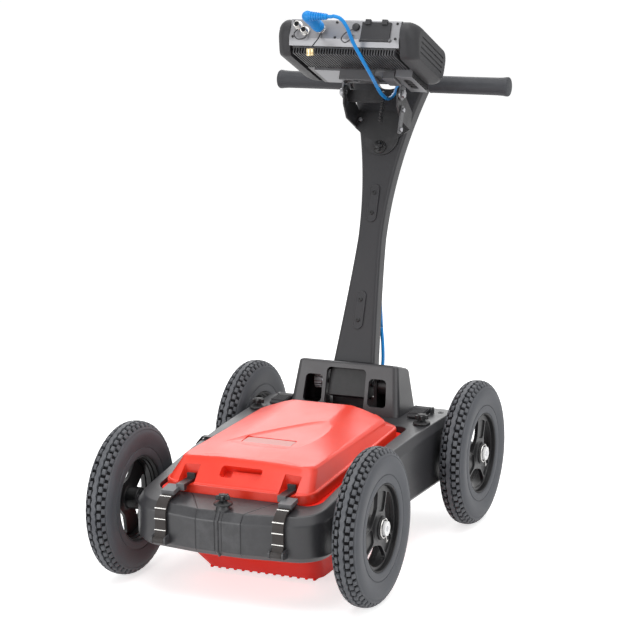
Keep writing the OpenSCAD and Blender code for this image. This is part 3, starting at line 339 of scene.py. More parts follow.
def finishPiece(name, pieces, placed, body, slot, *stoodFor, angle=38, weighted=True):
    # joins pieces, puts them in their place, smooths them and ties them to the frame
    obj = joinPieces(pieces)
    obj.name = obj.data.name = name
    obj.data.transform(placed)
    makeActive(obj)
    bpy.ops.object.shade_smooth_by_angle(angle=math.radians(angle))
    if weighted:
        modify(obj, "WEIGHTED_NORMAL", keep_sharp=True, weight=60)
    if not obj.data.materials:
        obj.data.materials.append(finishes[slot])
    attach(obj, body)
    if stoodFor:
        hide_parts(*stoodFor)
    return obj


def softened(node, body, slot, width, segments=2, angle=40, name=None):
    # a copy of a solid with its edges rounded
    obj = copyPiece(nodes[node])
    obj.parent = None
    for key in list(obj.keys()):
        del obj[key]
    obj.data.materials.clear()
    obj.data.transform(toMillimetres)
    editAll(obj, (bpy.ops.mesh.remove_doubles, {"threshold": 0.01}),
            (bpy.ops.mesh.dissolve_limited, {"angle_limit": math.radians(0.5)}))
    roundEdges(obj, width, segments, angle)
    return finishPiece(name or camel(node), [obj], toMetres, body, slot, node)


def softenAll(rows):
    # each row has a body, a slot, the width of the rounding and, where they differ, segments, angle and name
    for node, row in rows.items():
        softened(node, *row)


# Finishes
def fill(tree, node, inputs):
    for key, value in inputs.items():
        if isinstance(value, bpy.types.NodeSocket):
            tree.links.new(value, node.inputs[key])
        else:
            node.inputs[key].default_value = value


def addNode(tree, kind, inputs=None, **settings):
    made = tree.nodes.new(kind)
    for key, value in settings.items():
        setattr(made, key, value)
    fill(tree, made, inputs or {})
    return made.outputs


def noise(tree, vector, scale, detail, rough):
    return addNode(tree, "ShaderNodeTexNoise", {
        "Vector": vector, "Scale": scale, "Detail": detail, "Roughness": rough})["Fac"]


def remap(tree, value, low, high, newLow=0.0, newHigh=1.0):
    return addNode(tree, "ShaderNodeMapRange", {
        "Value": value, "From Min": low, "From Max": high, "To Min": newLow, "To Max": newHigh})[0]


def calc(tree, how, *values):
    return addNode(tree, "ShaderNodeMath", dict(enumerate(values)), operation=how)[0]


def mixTint(tree, share, under, over):
    return addNode(tree, "ShaderNodeMix", {"Factor": share, 6: under, 7: over}, data_type="RGBA")[2]


def startGroup(name, given, made):
    tree = bpy.data.node_groups.new(name, "ShaderNodeTree")
    for way, sockets in (("INPUT", given), ("OUTPUT", made)):
        for label, kind in sockets.items():
            tree.interface.new_socket(label, in_out=way, socket_type="NodeSocket" + kind)
    return tree, tree.nodes.new("NodeGroupInput").outputs


def endGroup(tree, results):
    fill(tree, tree.nodes.new("NodeGroupOutput"), results)
    return tree


def mouldGrainGroup():
    # mottled colour, uneven gloss and a fine moulded texture
    tree, given = startGroup("mouldGrain", {
        "Vector": "Vector", "Dark": "Color", "Light": "Color", "Scale": "Float", "Smooth": "Float",
        "Rough": "Float"}, {"Color": "Color", "Roughness": "Float", "Height": "Float"})
    fine = noise(tree, given["Vector"], given["Scale"], 3.0, 0.6)
    broad = noise(tree, given["Vector"], 11.0, 5.0, 0.62)
    share = remap(tree, calc(tree, "MULTIPLY_ADD", fine, 0.35, broad), 0.42, 0.92)
    return endGroup(tree, {"Color": mixTint(tree, share, given["Dark"], given["Light"]),
                           "Roughness": remap(tree, broad, 0.3, 0.7, given["Smooth"], given["Rough"]),
                           "Height": fine})


def maskGroup(name, driver, limits, cloud, cloudLimits, facing=False):
    # a broken mask where the driver is high, for rubbed edges and for dust on what faces up
    tree, given = startGroup(name, {"Vector": "Vector", driver: "Vector" if facing else "Float",
                                    "Amount": "Float"}, {"Mask": "Float"})
    value = addNode(tree, "ShaderNodeSeparateXYZ", {0: given[driver]})["Z"] if facing else given[driver]
    patch = remap(tree, noise(tree, given["Vector"], *cloud), *cloudLimits)
    both = calc(tree, "MULTIPLY", remap(tree, value, *limits), patch)
    return endGroup(tree, {"Mask": calc(tree, "MULTIPLY", both, given["Amount"])})


def brushedGroup():
    # long fine scratches along X
    tree, given = startGroup("brushed", {"Vector": "Vector", "Smooth": "Float", "Rough": "Float"},
                             {"Tone": "Float", "Roughness": "Float"})
    stretched = addNode(tree, "ShaderNodeMapping", {
        "Vector": given["Vector"], "Scale": (14.0, 900.0, 900.0)})
    lines = noise(tree, stretched[0], 1.0, 3.0, 0.6)
    return endGroup(tree, {"Tone": lines,
                           "Roughness": remap(tree, lines, 0.3, 0.7, given["Smooth"], given["Rough"])})


groups = {
    "grain": mouldGrainGroup(), "brushed": brushedGroup(),
    "wear": maskGroup("edgeWear", "Pointiness", (0.53, 0.62), (45.0, 4.0, 0.7), (0.4, 0.65)),
    "dust": maskGroup("dustFilm", "Normal", (0.2, 1.0), (23.0, 6.0, 0.68), (0.35, 0.75), True),
}


def startMaterial(name):
    material = bpy.data.materials.new(name)
    material.use_nodes = True
    tree = material.node_tree
    return material, tree, tree.nodes["Principled BSDF"], addNode(tree, "ShaderNodeTexCoord")["Object"]


def useGroup(tree, name, inputs):
    return addNode(tree, "ShaderNodeGroup", inputs, node_tree=groups[name])


def plastic(name, dark, light, smooth, rough, scale, depth, wear=0.0, dust=0.0, specular=0.36, coat=0.0,
            wornTint=(0.20, 0.20, 0.21), dustTint=(0.33, 0.32, 0.31)):
    material, tree, shader, coords = startMaterial(name)
    grain = useGroup(tree, "grain", {"Vector": coords, "Dark": (*dark, 1), "Light": (*light, 1),
                                     "Scale": scale, "Smooth": smooth, "Rough": rough})
    tint = grain["Color"]
    place = addNode(tree, "ShaderNodeNewGeometry")
    for group, driver, amount, over in (("wear", "Pointiness", wear, wornTint),
                                        ("dust", "Normal", dust, dustTint)):
        if amount:
            film = useGroup(tree, group, {"Vector": coords, driver: place[driver], "Amount": amount})
            tint = mixTint(tree, film["Mask"], tint, (*over, 1))
    bump = addNode(tree, "ShaderNodeBump", {"Height": grain["Height"], "Strength": 0.5, "Distance": depth})[0]
    fill(tree, shader, {"Base Color": tint, "Roughness": grain["Roughness"], "Normal": bump,
                        "Specular IOR Level": specular, "Coat Weight": coat, "Coat Roughness": 0.12})
    return material


def metal(name, dark, light, smooth, rough):
    material, tree, shader, coords = startMaterial(name)
    lines = useGroup(tree, "brushed", {"Vector": coords, "Smooth": smooth, "Rough": rough})
    tint = mixTint(tree, lines["Tone"], (*dark, 1), (*light, 1))
    fill(tree, shader, {"Base Color": tint, "Roughness": lines["Roughness"], "Metallic": 1.0})
    return material


finishes = {
    "frame_plastic": plastic("satinCharcoal", (0.026, 0.026, 0.029), (0.034, 0.034, 0.037), 0.32, 0.42, 900,
                             0.0002, wear=0.18, dust=0.02, specular=0.5),
    "mast_plastic": plastic("mastCharcoal", (0.020, 0.020, 0.023), (0.028, 0.028, 0.031), 0.38, 0.48, 900,
                            0.0002, wear=0.20, dust=0.03, specular=0.34),
    "black_plastic": plastic("mouldedBlack", (0.007, 0.007, 0.008), (0.013, 0.013, 0.014), 0.32, 0.45, 1100,
                             0.00015, wear=0.25, dust=0.03, wornTint=(0.10, 0.10, 0.105)),
    "housing_red": plastic("housingRed", (0.78, 0.032, 0.013), (0.85, 0.046, 0.019), 0.28, 0.38, 420, 0.00012,
                           dust=0.03, wear=0.12, wornTint=(0.92, 0.20, 0.13), dustTint=(0.80, 0.30, 0.24),
                           specular=0.5),
    "tyre_rubber": plastic("tyreRubber", (0.058, 0.061, 0.070), (0.090, 0.095, 0.106), 0.52, 0.66, 700,
                           0.0003, dust=0.10, wear=0.45, wornTint=(0.20, 0.205, 0.215)),
    "soft_rubber": plastic("softRubber", (0.016, 0.016, 0.018), (0.028, 0.028, 0.031), 0.48, 0.62, 800,
                           0.0003, wear=0.2, dust=0.06),
    "strap_rubber": plastic("strapRubber", (0.016, 0.012, 0.011), (0.028, 0.023, 0.021), 0.45, 0.60, 900,
                            0.0002, wear=0.2),
    "grip_rubber": plastic("gripFoam", (0.030, 0.032, 0.037), (0.044, 0.046, 0.052), 0.50, 0.62, 1500, 0.0004,
                           wear=0.1, dust=0.06),
    "steel": metal("brushedSteel", (0.33, 0.33, 0.35), (0.52, 0.52, 0.54), 0.28, 0.44),
    "nickel": metal("nickelPlate", (0.42, 0.41, 0.40), (0.58, 0.57, 0.55), 0.18, 0.30),
    "aluminium": metal("satinAluminium", (0.19, 0.19, 0.20), (0.27, 0.27, 0.28), 0.40, 0.52),
    "case_metal": plastic("blackAnodised", (0.022, 0.022, 0.024), (0.040, 0.040, 0.043), 0.34, 0.48, 1300,
                          0.00012, wear=0.45, dust=0.05, wornTint=(0.30, 0.30, 0.31)),
    "bracket_steel": plastic("powderCoat", (0.012, 0.012, 0.013), (0.024, 0.024, 0.026), 0.34, 0.50, 1000,
                             0.0003, wear=0.45, wornTint=(0.25, 0.25, 0.26)),
    "white_plastic": plastic("capWhite", (0.84, 0.84, 0.84), (0.90, 0.90, 0.89), 0.25, 0.38, 600, 0.0001,
                             dust=0.03),
    "board": plastic("solderMask", (0.015, 0.10, 0.045), (0.03, 0.17, 0.08), 0.25, 0.40, 500, 0.0001),
    "copper": metal("copperFoil", (0.48, 0.22, 0.11), (0.70, 0.38, 0.22), 0.28, 0.45),
    "screen": plastic("darkGlass", (0.006, 0.007, 0.009), (0.010, 0.012, 0.015), 0.05, 0.10, 40, 0.00001,
                      coat=0.6),
    "cable_blue": plastic("cableJacket", (0.000, 0.195, 0.560), (0.000, 0.255, 0.680), 0.32, 0.44, 700,
                          0.0001, wornTint=(0.05, 0.35, 0.70), wear=0.12),
}
extras = {
    # painted light: a lighter copy of the housing red, raised to make up for the shade the pan sits in under
    # the frame
    "panRedPaintedLight": plastic("panRedPaintedLight", (0.93, 0.024, 0.014), (0.98, 0.034, 0.018), 0.46, 0.58, 420, 0.00012,
                      specular=0.16),
    "badgePlate": plastic("badgePlate", (0.52, 0.22, 0.20), (0.60, 0.27, 0.25), 0.38, 0.48, 500, 0.0001,
                          specular=0.3),
    # painted shade: a near-black copy of the tyre rubber for the groove floor under the tread, standing in
    # for the shadow between the blocks
    "groove": plastic("treadGrooveShadePainted", (0.004, 0.004, 0.005), (0.009, 0.009, 0.010), 0.60, 0.75, 700, 0.0002,
                      specular=0.1),
    "darkGrey": plastic("bracketGrey", (0.085, 0.086, 0.090), (0.130, 0.130, 0.136), 0.34, 0.48, 900, 0.0002,
                        wear=0.3),
    "brass": metal("lacqueredBrass", (0.60, 0.46, 0.24), (0.76, 0.62, 0.38), 0.20, 0.34),
}
print("finishes ready:", len(finishes) + len(extras))


# Stage: a pale floor that fades to white, and soft studio light
stageSetup = {"floorHalf": 40, "floorZ": -0.0005, "floorTint": 0.85, "whiten": 0.66, "skyLight": 0.44}
lampSetup = [
    {"name": "overhead", "from": (0.3, -0.6, 3.4), "aim": (0, 0, 0.4), "size": 3.0, "power": 74},
    {"name": "frontLeft", "from": (-1.9, -3.6, 0.85), "aim": (0, 0, 0.4), "size": 2.2, "power": 62},
    {"name": "rightSide", "from": (3.4, -1.2, 1.8), "aim": (0, 0, 0.5), "size": 1.8, "power": 34},
    {"name": "rear", "from": (-1.4, 3.2, 2.4), "aim": (0, 0, 0.6), "size": 2.4, "power": 40},
]


def seenRays(tree):
    # one for what the camera, a reflection or a glass sees directly
    rays = addNode(tree, "ShaderNodeLightPath")
    first = calc(tree, "MAXIMUM", rays["Is Camera Ray"], rays["Is Glossy Ray"])
    return calc(tree, "MAXIMUM", first, rays["Is Transmission Ray"])


def emptyTree(owner):
    owner.use_nodes = True
    owner.node_tree.nodes.clear()
    return owner.node_tree


def addFloor():
    bpy.ops.mesh.primitive_plane_add(size=2 * stageSetup["floorHalf"], location=(0, 0, stageSetup["floorZ"]))
    floor = bpy.context.object
    floor.name = "floor"
    material = bpy.data.materials.new("paleFloor")
    tree = emptyTree(material)
    matte = addNode(tree, "ShaderNodeBsdfDiffuse", {"Color": (*[stageSetup["floorTint"]] * 3, 1)})
    strength = calc(tree, "MULTIPLY", seenRays(tree), stageSetup["whiten"])
    glow = addNode(tree, "ShaderNodeEmission", {"Strength": strength})
    both = addNode(tree, "ShaderNodeAddShader", {0: matte[0], 1: glow[0]})
    addNode(tree, "ShaderNodeOutputMaterial", {"Surface": both[0]})
    floor.data.materials.append(material)


def addLight():
    world = bpy.data.worlds.new("studio")
    bpy.context.scene.world = world
    tree = emptyTree(world)
    ambient, white = (addNode(tree, "ShaderNodeBackground", {"Color": (1, 1, 1, 1), "Strength": strength})[0]
                      for strength in (stageSetup["skyLight"], 1.0))
    mixed = addNode(tree, "ShaderNodeMixShader", {0: seenRays(tree), 1: ambient, 2: white})
    addNode(tree, "ShaderNodeOutputWorld", {"Surface": mixed[0]})
    for lamp in lampSetup:
        bpy.ops.object.light_add(type="AREA", location=lamp["from"])
        light = bpy.context.object
        light.name = lamp["name"]
        light.data.size = lamp["size"]
        light.data.energy = lamp["power"]
        toward = Vector(lamp["aim"]) - Vector(lamp["from"])
        light.rotation_euler = toward.to_track_quat("-Z", "Y").to_euler()


addFloor()
addLight()
print("stage lit")


# Blue cable, in two stretches that meet behind the mast
cable = {
    "thick": 8,
    "upper": [(34, 338, 413), (15, 376, 526), (8, 420, 648), (9, 463, 762), (14, 520, 890), (16, 530, 926),
              (19, 506, 950), (24, 474, 950), (27, 440, 927), (30, 395, 919), (32, 350, 934), (40, 304, 955),
              (49, 250, 984), (44, 212, 1022), (34, 186, 1060), (30, 162, 1094), (22, 150, 1112),
              (8, 147, 1118), (0, 147, 1117), (-8, 147, 1117)],
    "lower": [(42, 292, 264), (42, 292, 277), (42, 292, 290), (44, 300, 306), (47, 313, 335), (42, 326, 375),
              (34, 338, 412)],
    "bend": [(32, 350, 934), (44, 212, 1022)],
}
plug = {
    "x": -54, "z": -24, "socketY": -18, "long": 66,
    "body": [(0, 0), (10.9, 0), (13, 1.5), (13, 9), (11.6, 10), (11.6, 12), (12.8, 13), (12.8, 20),
             (11.8, 21), (12.2, 34), (12.4, 58), (12.4, 66), (11.408, 70), (8.68, 73.2), (4.712, 75.2),
             (0, 78.4)],
    "bootStart": [(0, -2), (10.6, -2), (10.6, 4)], "bootEnd": [(6.2, 44), (5.6, 46), (0, 46)],
    "ribs": 7, "ribStart": 6, "ribRun": 38, "ribOuter": 10.3, "ribFall": 3.9,
    "ribShape": [(-1.5, 0), (-1.5, 1.4), (0, 2), (0, 4.2)],
    "ridgeX": 11.2, "ridgeHalf": 1.2, "ridgeY": (6, 40), "ridgeHigh": 3,
}


def cableTube(name, points):
    path = [cart @ p for p in smoothPath(points, 8)]
    obj = painted(wire(path, cable["thick"] / 2 * mm, sides=20), finishes["cable_blue"])
    obj.name = obj.data.name = name
    makeActive(obj)
    bpy.ops.object.shade_smooth()
    return obj, path


def makePlug():
    c = plug
    far = c["socketY"] - c["long"]
    body = turned(lathe(c["body"], 40), shift(c["x"], c["socketY"], c["z"]) @ faceOut)
    profile = list(c["bootStart"])
    for i in range(c["ribs"]):
        z = c["ribStart"] + i * c["ribRun"] / c["ribs"]
        outer = c["ribOuter"] - c["ribFall"] * i / c["ribs"]
        profile += [(outer + a, z + b) for a, b in c["ribShape"]]
    boot = turned(lathe(profile + c["bootEnd"], 32), shift(c["x"], far, c["z"]) @ spin(90, "Y"))
    start, end = (far + y for y in c["ridgeY"])
    ridges = [box(x - c["ridgeHalf"], x + c["ridgeHalf"], start, end, c["z"] - c["ridgeHigh"],
                  c["z"] + c["ridgeHigh"], 1, 2) for x in (c["x"] - c["ridgeX"], c["x"] + c["ridgeX"])]
    return finishPiece("cablePlug", [body, boot, *ridges], controlFrame, "controller", "cable_blue",
                       "cable_plug", weighted=False)


def makeCable():
    plugPiece = makePlug()
    lower, lowerPath = cableTube("cableLower", cable["lower"])
    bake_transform(lower)
    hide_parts("cable_lower")
    upper, upperPath = cableTube("cableUpper", cable["upper"])
    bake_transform(upper)
    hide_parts("cable_upper")
    print("cable lengths:", round(pathLength(lowerPath), 3), round(pathLength(upperPath), 3))


makeCable()


# Tyres: a turned casing with a zigzag rib and staggered blocks wrapped round it
tyre = {
    "half": 28, "middle": 127.92, "rise": 31.08, "pitches": 54, "ribHalf": 4.4, "ribSlope": 0.8,
    "zigzag": 1.3, "sunk": -0.2, "blockTop": 0.84, "blockEdge": 0.07,
    "casing": [(154.2, 0), (154.0, 6), (152.9, 12), (150.5, 17), (147.2, 20.9), (146.5, 22.0), (147.3, 22.9),
               (146.2, 23.9), (143.2, 24.9), (142.6, 24.3), (141.8, 24.8), (137, 27.1), (130, 28),
               (122, 27.5), (114, 26.1), (108, 24.7), (106.8, 24.5), (106.1, 23.3), (105.2, 23.3),
               (104.5, 24.6), (98, 24.8), (92, 24.3), (89.6, 23.6), (88.3, 21.6), (88.3, 18)],
    "rows": [{"across": 11.2, "half": 3.9, "long": 6.5, "shift": 0.25},
             {"across": 19.0, "half": 2.9, "long": 6.0, "shift": 0.75}],
    "grooveAcross": 21.5, "grooveRadius": 146.9,
}


def treadTop(across):
    lean = math.asin(min(1, (abs(across) / tyre["half"]) ** (4 / 3)))
    return tyre["middle"] + tyre["rise"] * math.cos(lean)


def treadFloor(across):
    for (r0, w0), (r1, w1) in zip(tyre["casing"], tyre["casing"][1:]):
        if w0 <= abs(across) <= w1:
            return r0 + (r1 - r0) * (abs(across) - w0) / (w1 - w0)
    return tyre["casing"][-1][0]


def pick(obj, kind, test):
    # selects in edit mode what passes the test
    bpy.ops.mesh.select_mode(type=kind)
    bpy.ops.mesh.select_all(action="DESELECT")
    form = bmesh.from_edit_mesh(obj.data)
    for item in form.edges if kind == "EDGE" else form.faces:
        if test(item):
            item.select_set(True)
    form.select_flush_mode()
    bmesh.update_edit_mesh(obj.data)


def treadBlock(along, across, long, half):
    bpy.ops.mesh.primitive_cone_add(vertices=4, radius1=1, radius2=tyre["blockTop"], depth=1)
    obj = bpy.context.object
    bpy.ops.object.mode_set(mode="EDIT")
    pick(obj, "FACE", lambda face: face.normal.z < -0.9)
    bpy.ops.mesh.delete(type="FACE")
    pick(obj, "EDGE", lambda edge: all(v.co.z > 0.4 for v in edge.verts))
    bpy.ops.mesh.bevel(offset=tyre["blockEdge"], segments=1, affect="EDGES")
    bpy.ops.object.mode_set(mode="OBJECT")
    corner = math.sqrt(0.5)
    shape = Matrix.Diagonal((long / corner, half / corner, 1 - tyre["sunk"], 1)) @ spin(45, "Z")
    return turned(obj, shift(along, across, (1 + tyre["sunk"]) / 2) @ shape)


def treadPitch(pitch):
    half, slope, sunk = tyre["ribHalf"], tyre["ribSlope"], tyre["sunk"]
    section = [(-half - slope, sunk), (-half, 1), (half, 1), (half + slope, sunk)]
    points = [(along, side * tyre["zigzag"] + across, height)
              for along, side in ((0, 1), (pitch / 2, -1), (pitch, 1)) for across, height in section]
    faces = [(i + j, i + 4 + j, i + 5 + j, i + 1 + j) for i in (0, 4) for j in range(3)]
    pieces = [meshPiece(points, faces)]
    for row in tyre["rows"]:
        for side in (-1, 1):
            along = pitch * ((row["shift"] + (0.5 if side < 0 else 0)) % 1)
            pieces.append(treadBlock(along, side * row["across"], row["long"], row["half"]))
    return joinPieces(pieces)


def makeTyre():
    pitch = 2 * math.pi * treadTop(0) / tyre["pitches"]
    tread = treadPitch(pitch)
    modify(tread, "ARRAY", count=tyre["pitches"], use_relative_offset=False, use_constant_offset=True,
           constant_offset_displace=(pitch, 0, 0), use_merge_vertices=True, merge_threshold=0.01)
    for vertex in tread.data.vertices:
        along, across, height = vertex.co
        low = treadFloor(across)
        radius = low + (treadTop(across) - low) * height
        vertex.co = (*polar(radius, 2 * math.pi * along / (pitch * tyre["pitches"])), across)
    profile = tyre["casing"] + [(r, -w) for r, w in reversed(tyre["casing"][1:])]
    casing = lathe(profile, 108, closed=True)
    for piece in (tread, casing):
        painted(piece, finishes["tyre_rubber"]).data.materials.append(extras["groove"])
    # casing faces under the tread get the second finish, a painted groove shadow
    for face in casing.data.polygons:
        middle = face.center
        if abs(middle.z) < tyre["grooveAcross"] and math.hypot(middle.x, middle.y) > tyre["grooveRadius"]:
            face.material_index = 1
    return cleanMesh(joinPieces([casing, tread]), 0.002)


# Rims: turned barrel and hub, with three hollow spokes cut out of a thick web
rim = {
    "barrel": [(88.2, 21.8), (86.8, 22.8), (85.4, 21.4), (84.6, 13.6), (82.3, 12.2), (81.7, 6.6),
               (79.8, 5.6)],
    "under": [(93, -17), (93, 17)], "webLow": 7, "webHigh": 15, "webRadius": 84, "wall": 4.4, "sunk": 3.5,
    "hub": [(0, -24), (21.5, -24), (23, -22.5), (23, 3), (29, 7), (29, 15), (24, 18), (23, 19), (23, 22.5),
            (21.5, 24), (18, 24), (17.4, 22.4), (0, 22.4)],
    "spokes": 3, "firstSpoke": 165, "halfAtHub": 17, "flare": 0.1085, "windowIn": 35, "windowOut": 70,
    "windowRadius": 77.5, "windowFillets": [9, 8], "windowTrim": 0.09, "sweepSteps": 10,
    "pocket": [(32, -1), (72, -1), (72, 1), (32, 1)], "pocketFillet": 9, "past": 3, "edge": 1.1,
}


def spokeEdge(angle, along, side, wall=0):
    turn = math.radians(angle)
    half = side * (rim["halfAtHub"] + rim["flare"] * along - wall)
    return (along * math.cos(turn) - half * math.sin(turn), along * math.sin(turn) + half * math.cos(turn))


def windowOutline(angle):
    a, b = spokeEdge(angle, rim["windowIn"], 1), spokeEdge(angle, rim["windowOut"], 1)
    c, d = spokeEdge(angle + 120, rim["windowOut"], -1), spokeEdge(angle + 120, rim["windowIn"], -1)
    first, last = math.atan2(b[1], b[0]), math.atan2(c[1], c[0])
    if last < first:
        last += 2 * math.pi
    first, last = first + rim["windowTrim"], last - rim["windowTrim"]
    steps = rim["sweepSteps"]
    sweep = [polar(rim["windowRadius"], first + (last - first) * i / steps) for i in range(steps + 1)]
    inner, outer = rim["windowFillets"]
    return filletCorners([a, b, *sweep, c, d], [inner, outer, *([0] * len(sweep)), outer, inner])


def makeRim():
    half, past = rim["barrel"], rim["past"]
    barrel = lathe(half + [(r, -z) for r, z in reversed(half)] + rim["under"], 96, closed=True)
    low, high = rim["webLow"], rim["webHigh"]
    web = rod((0, 0, low), (0, 0, high), rim["webRadius"], 96)
    cutters = []
    for i in range(rim["spokes"]):
        angle = rim["firstSpoke"] + 360 * i / rim["spokes"]
        cutters.append(prism(windowOutline(angle), low - past, high + past))
        pocket = [spokeEdge(angle, along, side, rim["wall"]) for along, side in rim["pocket"]]
        cutters.append(prism(filletCorners(pocket, rim["pocketFillet"]), high - rim["sunk"], high + past))
    carve(web, *cutters)
    carve(web, lathe(rim["hub"], 64), how="UNION")
    return joinPieces([roundEdges(web, rim["edge"], 2, 35), barrel])


def makeWheels():
    models = {"tyre": (makeTyre(), "tyre_rubber", {"angle": 42, "weighted": False}),
              "rim": (makeRim(), "black_plastic", {})}
    for place, (side, end) in corners.items():
        for kind, (model, slot, smoothing) in models.items():
            node = kind + "_" + place
            finishPiece(camel(node), [copyPiece(model)], wheelFrame(side, end), "wheel_" + place, slot, node,
                        **smoothing)
    for row in models.values():
        bpy.data.objects.remove(row[0])


# White caps on the axle ends, each behind an eight sided spring wire
axleEnd = {
    "cap": [(0, 27.4), (14.4, 27.4), (15, 28), (15, 31.4), (14.5, 32.5), (13.4, 33), (11, 33), (10.4, 32.3),
            (0, 32.3)],
    "slots": [(5, 1), (1, 5)], "slotZ": (31.3, 34), "wireZ": 25.9, "wireCorner": 20, "wireR": 1.5, "tail": 33,
    "tailTurns": (18, 30), "wireFillets": [0, 4, 4, 4, 4, 4, 4, 0],
}


def makeCaps():
    c = axleEnd
    cap = lathe(c["cap"], 40)
    carve(cap, *[box(-a, a, -b, b, *c["slotZ"]) for a, b in c["slots"]])
    eight = [polar(c["wireCorner"], math.radians(22.5 + 45 * i)) for i in range(8)]
    line = filletCorners(eight[1:] + eight[:1], c["wireFillets"], 4)
    line += [polar(c["tail"], math.radians(turn)) for turn in c["tailTurns"]]
    spring = wire([(x, y, c["wireZ"]) for x, y in line], c["wireR"])
    places = [wheelFrame(side, end) for side, end in corners.values()]
    for model, name, slot, node, weighted in ((cap, "axleCaps", "white_plastic", "axle_caps", True),
                                              (spring, "axleSprings", "nickel", "axle_clips", False)):
        twins = [turned(copyPiece(model), place) for place in places]
        bpy.data.objects.remove(model)
        finishPiece(name, twins, Matrix.Identity(4), "chassis", slot, node, weighted=weighted)


makeWheels()
makeCaps()
print("wheels made")


# Front straps and rear latches, which turn on pins between lugs of the frame
strap = {
    "x": 128, "half": 12, "thick": 5, "pinY": -436.9, "pinZ": 127, "pinR": 3,
    "eye": [(3.2, -12), (6, -12), (6.8, -11.2), (6.8, 11.2), (6, 12), (3.2, 12)],
    "line": [(-434.6, 131), (-429.6, 139), (-428, 147), (-427.9, 160), (-427.9, 176), (-426, 185),
             (-419.5, 196), (-411, 203.6), (-398, 207), (-380, 209.3), (-362, 211.4)],
    "bars": [(-430.8, 146), (-430.8, 169), (-427.6, 190), (-404, 208.6)], "barR": 1.5, "barOut": 0.6,
    "hookFrom": -352,
}
latch = {
    "x": 165, "half": 17, "pinY": 262, "pinZ": 254, "pinR": 2.5, "ribs": 6, "ribStart": (211, 256.6),
    "ribStep": (7, 0.32), "ribShape": [(-2.2, -3), (2.2, -3), (1.4, 2), (-1.4, 2)],
    "line": [(268, 257), (262, 260.9), (250, 258), (210, 256), (202, 252), (202, 247.4), (254, 247.2),
             (268, 251)], "cuts": [3, 4, 3, 4, 2, 2, 2, 3],
    "lug": [(254, 244), (270, 244), (269, 260), (255, 260)],
}


def ribbon(line, thick, x0, x1):
    path = smoothPath([(0, *p) for p in line], 4)
    outer, inner = [], []
    for i, p in enumerate(path):
        ahead = (path[min(i + 1, len(path) - 1)] - path[max(i - 1, 0)]).normalized()
        out = Vector((0, -ahead.z, ahead.y)) * (thick / 2)
        outer.append((p + out).yz)
        inner.append((p - out).yz)
    return roundEdges(onSide(outer + inner[::-1], x0, x1), 1.1, 2, 50)


# Straps are rubber ribbons with bright wire bars, which end in a buckle and a hook
def makeStraps():
    t = strap
    for word, side in hands.items():
        x, body = side * t["x"], "strap_" + word
        band = ribbon(t["line"], t["thick"], x - t["half"], x + t["half"])
        eye = turned(lathe(t["eye"], 32, closed=True), shift(x, t["pinY"], t["pinZ"]) @ spin(90, "Y"))
        reach = t["half"] + t["barOut"]
        bars = [painted(rod((x - reach, *b), (x + reach, *b), t["barR"], 12, 0.5), finishes["nickel"])
                for b in t["bars"]]
        rubber = [painted(piece, finishes["strap_rubber"]) for piece in (band, eye)]
        finishPiece(camel(body), rubber + bars, cart, body, "strap_rubber", body, angle=34)
        clasp = painted(softened("buckle_" + word, body, "black_plastic", 1.5, 3), extras["darkGrey"])
        clasp.data.materials.append(finishes["black_plastic"])
        for face in clasp.data.polygons:
            if face.center.y > midY + t["hookFrom"] * mm:
                face.material_index = 1


# Latches are ribbed rubber levers
def makeLatches():
    c = latch
    for word, side in hands.items():
        low, high, body = side * c["x"] - c["half"], side * c["x"] + c["half"], "latch_" + word
        pieces = [onSide(filletCorners(c["line"], c["cuts"]), low, high, 1.4)]
        for i in range(c["ribs"]):
            y, z = (start + i * step for start, step in zip(c["ribStart"], c["ribStep"]))
            outline = filletCorners([(y + a, z + b) for a, b in c["ribShape"]], [0, 0, 1, 1])
            pieces.append(onSide(outline, low + 1, high - 1, 0.6, 2))
        finishPiece(camel(body), pieces, cart, body, "soft_rubber", body)


# Frame: a moulded ring with a swept nose and a deck at the rear
shell = {
    "front": -432, "rear": 320, "bevel": 12, "wall": 5, "low": 105, "noseHalf": 49, "sweep": 12,
    "frontRadius": 70, "rearRadius": 36, "rearHalf": 232.5, "taper": 20 / 584, "axleY": 292, "deckH": 246,
    "noseDrop": 50, "deckStart": 200, "noseEdge": -420, "openHalf": 179, "openFront": -353, "openRear": 139,
    "openRadius": 30, "ledge": 16, "flange": 6, "rimH": 203, "rimRise": 0.06, "rimFront": -350, "edge": 2.6,
    "bossRadius": 28, "bossHeight": 4, "bossIn": 6, "groove": 1.5, "knobY": -406,
    "crease": [(96, -355), (84, -369), (62, -402), (50, -420)],
    "knobSeat": [(0, 184), (15, 184), (15, 198), (14, 200.5), (13, 203), (12, 206), (0, 206)],
    "tieX": 199, "tieY": 276, "tieR": 3.3, "tieHole": (-20, 9),
    "tieBush": [(3.3, -4), (3.3, 0.6), (3.7, 1), (5.9, 1), (6.5, 0.4), (6.5, -4)],
    "lug": 4, "lugGap": 0.4, "pinOut": 0.6, "ribTop": 19, "ribGrooves": (-7.5, 7.5), "ribGrooveR": 1.2,
    "ribX": -1.5, "ribR": 3.0,
}


def sideHalf(y):
    return shell["rearHalf"] - shell["taper"] * (shell["axleY"] - y)


def frameTop(y):
    share = max(0, shell["deckStart"] - y) / (shell["deckStart"] - shell["noseEdge"])
    return shell["deckH"] - shell["noseDrop"] * share ** 2


def rimHeight(y):
    return shell["rimH"] + shell["rimRise"] * (y - shell["rimFront"])


def between(a, b, steps):
    return [(a[0] + (b[0] - a[0]) * i / steps, a[1] + (b[1] - a[1]) * i / steps) for i in range(1, steps)]


def planLoop(halfFront, halfRear, y0, y1, rf, rr, nose, sweep, steps=12, along=22):
    front, rear = y0 + sweep + rf, y1 - rr
    return [*arc(halfRear - rr, rear, rr, 0, steps), *arc(rr - halfRear, rear, rr, 90, steps),
            *between((-halfRear, rear), (-halfFront, front), along),
            *arc(rf - halfFront, front, rf, 180, steps), (-nose, y0), (nose, y0),
            *arc(halfFront - rf, front, rf, 270, steps),
            *between((halfFront, front), (halfRear, rear), along)]


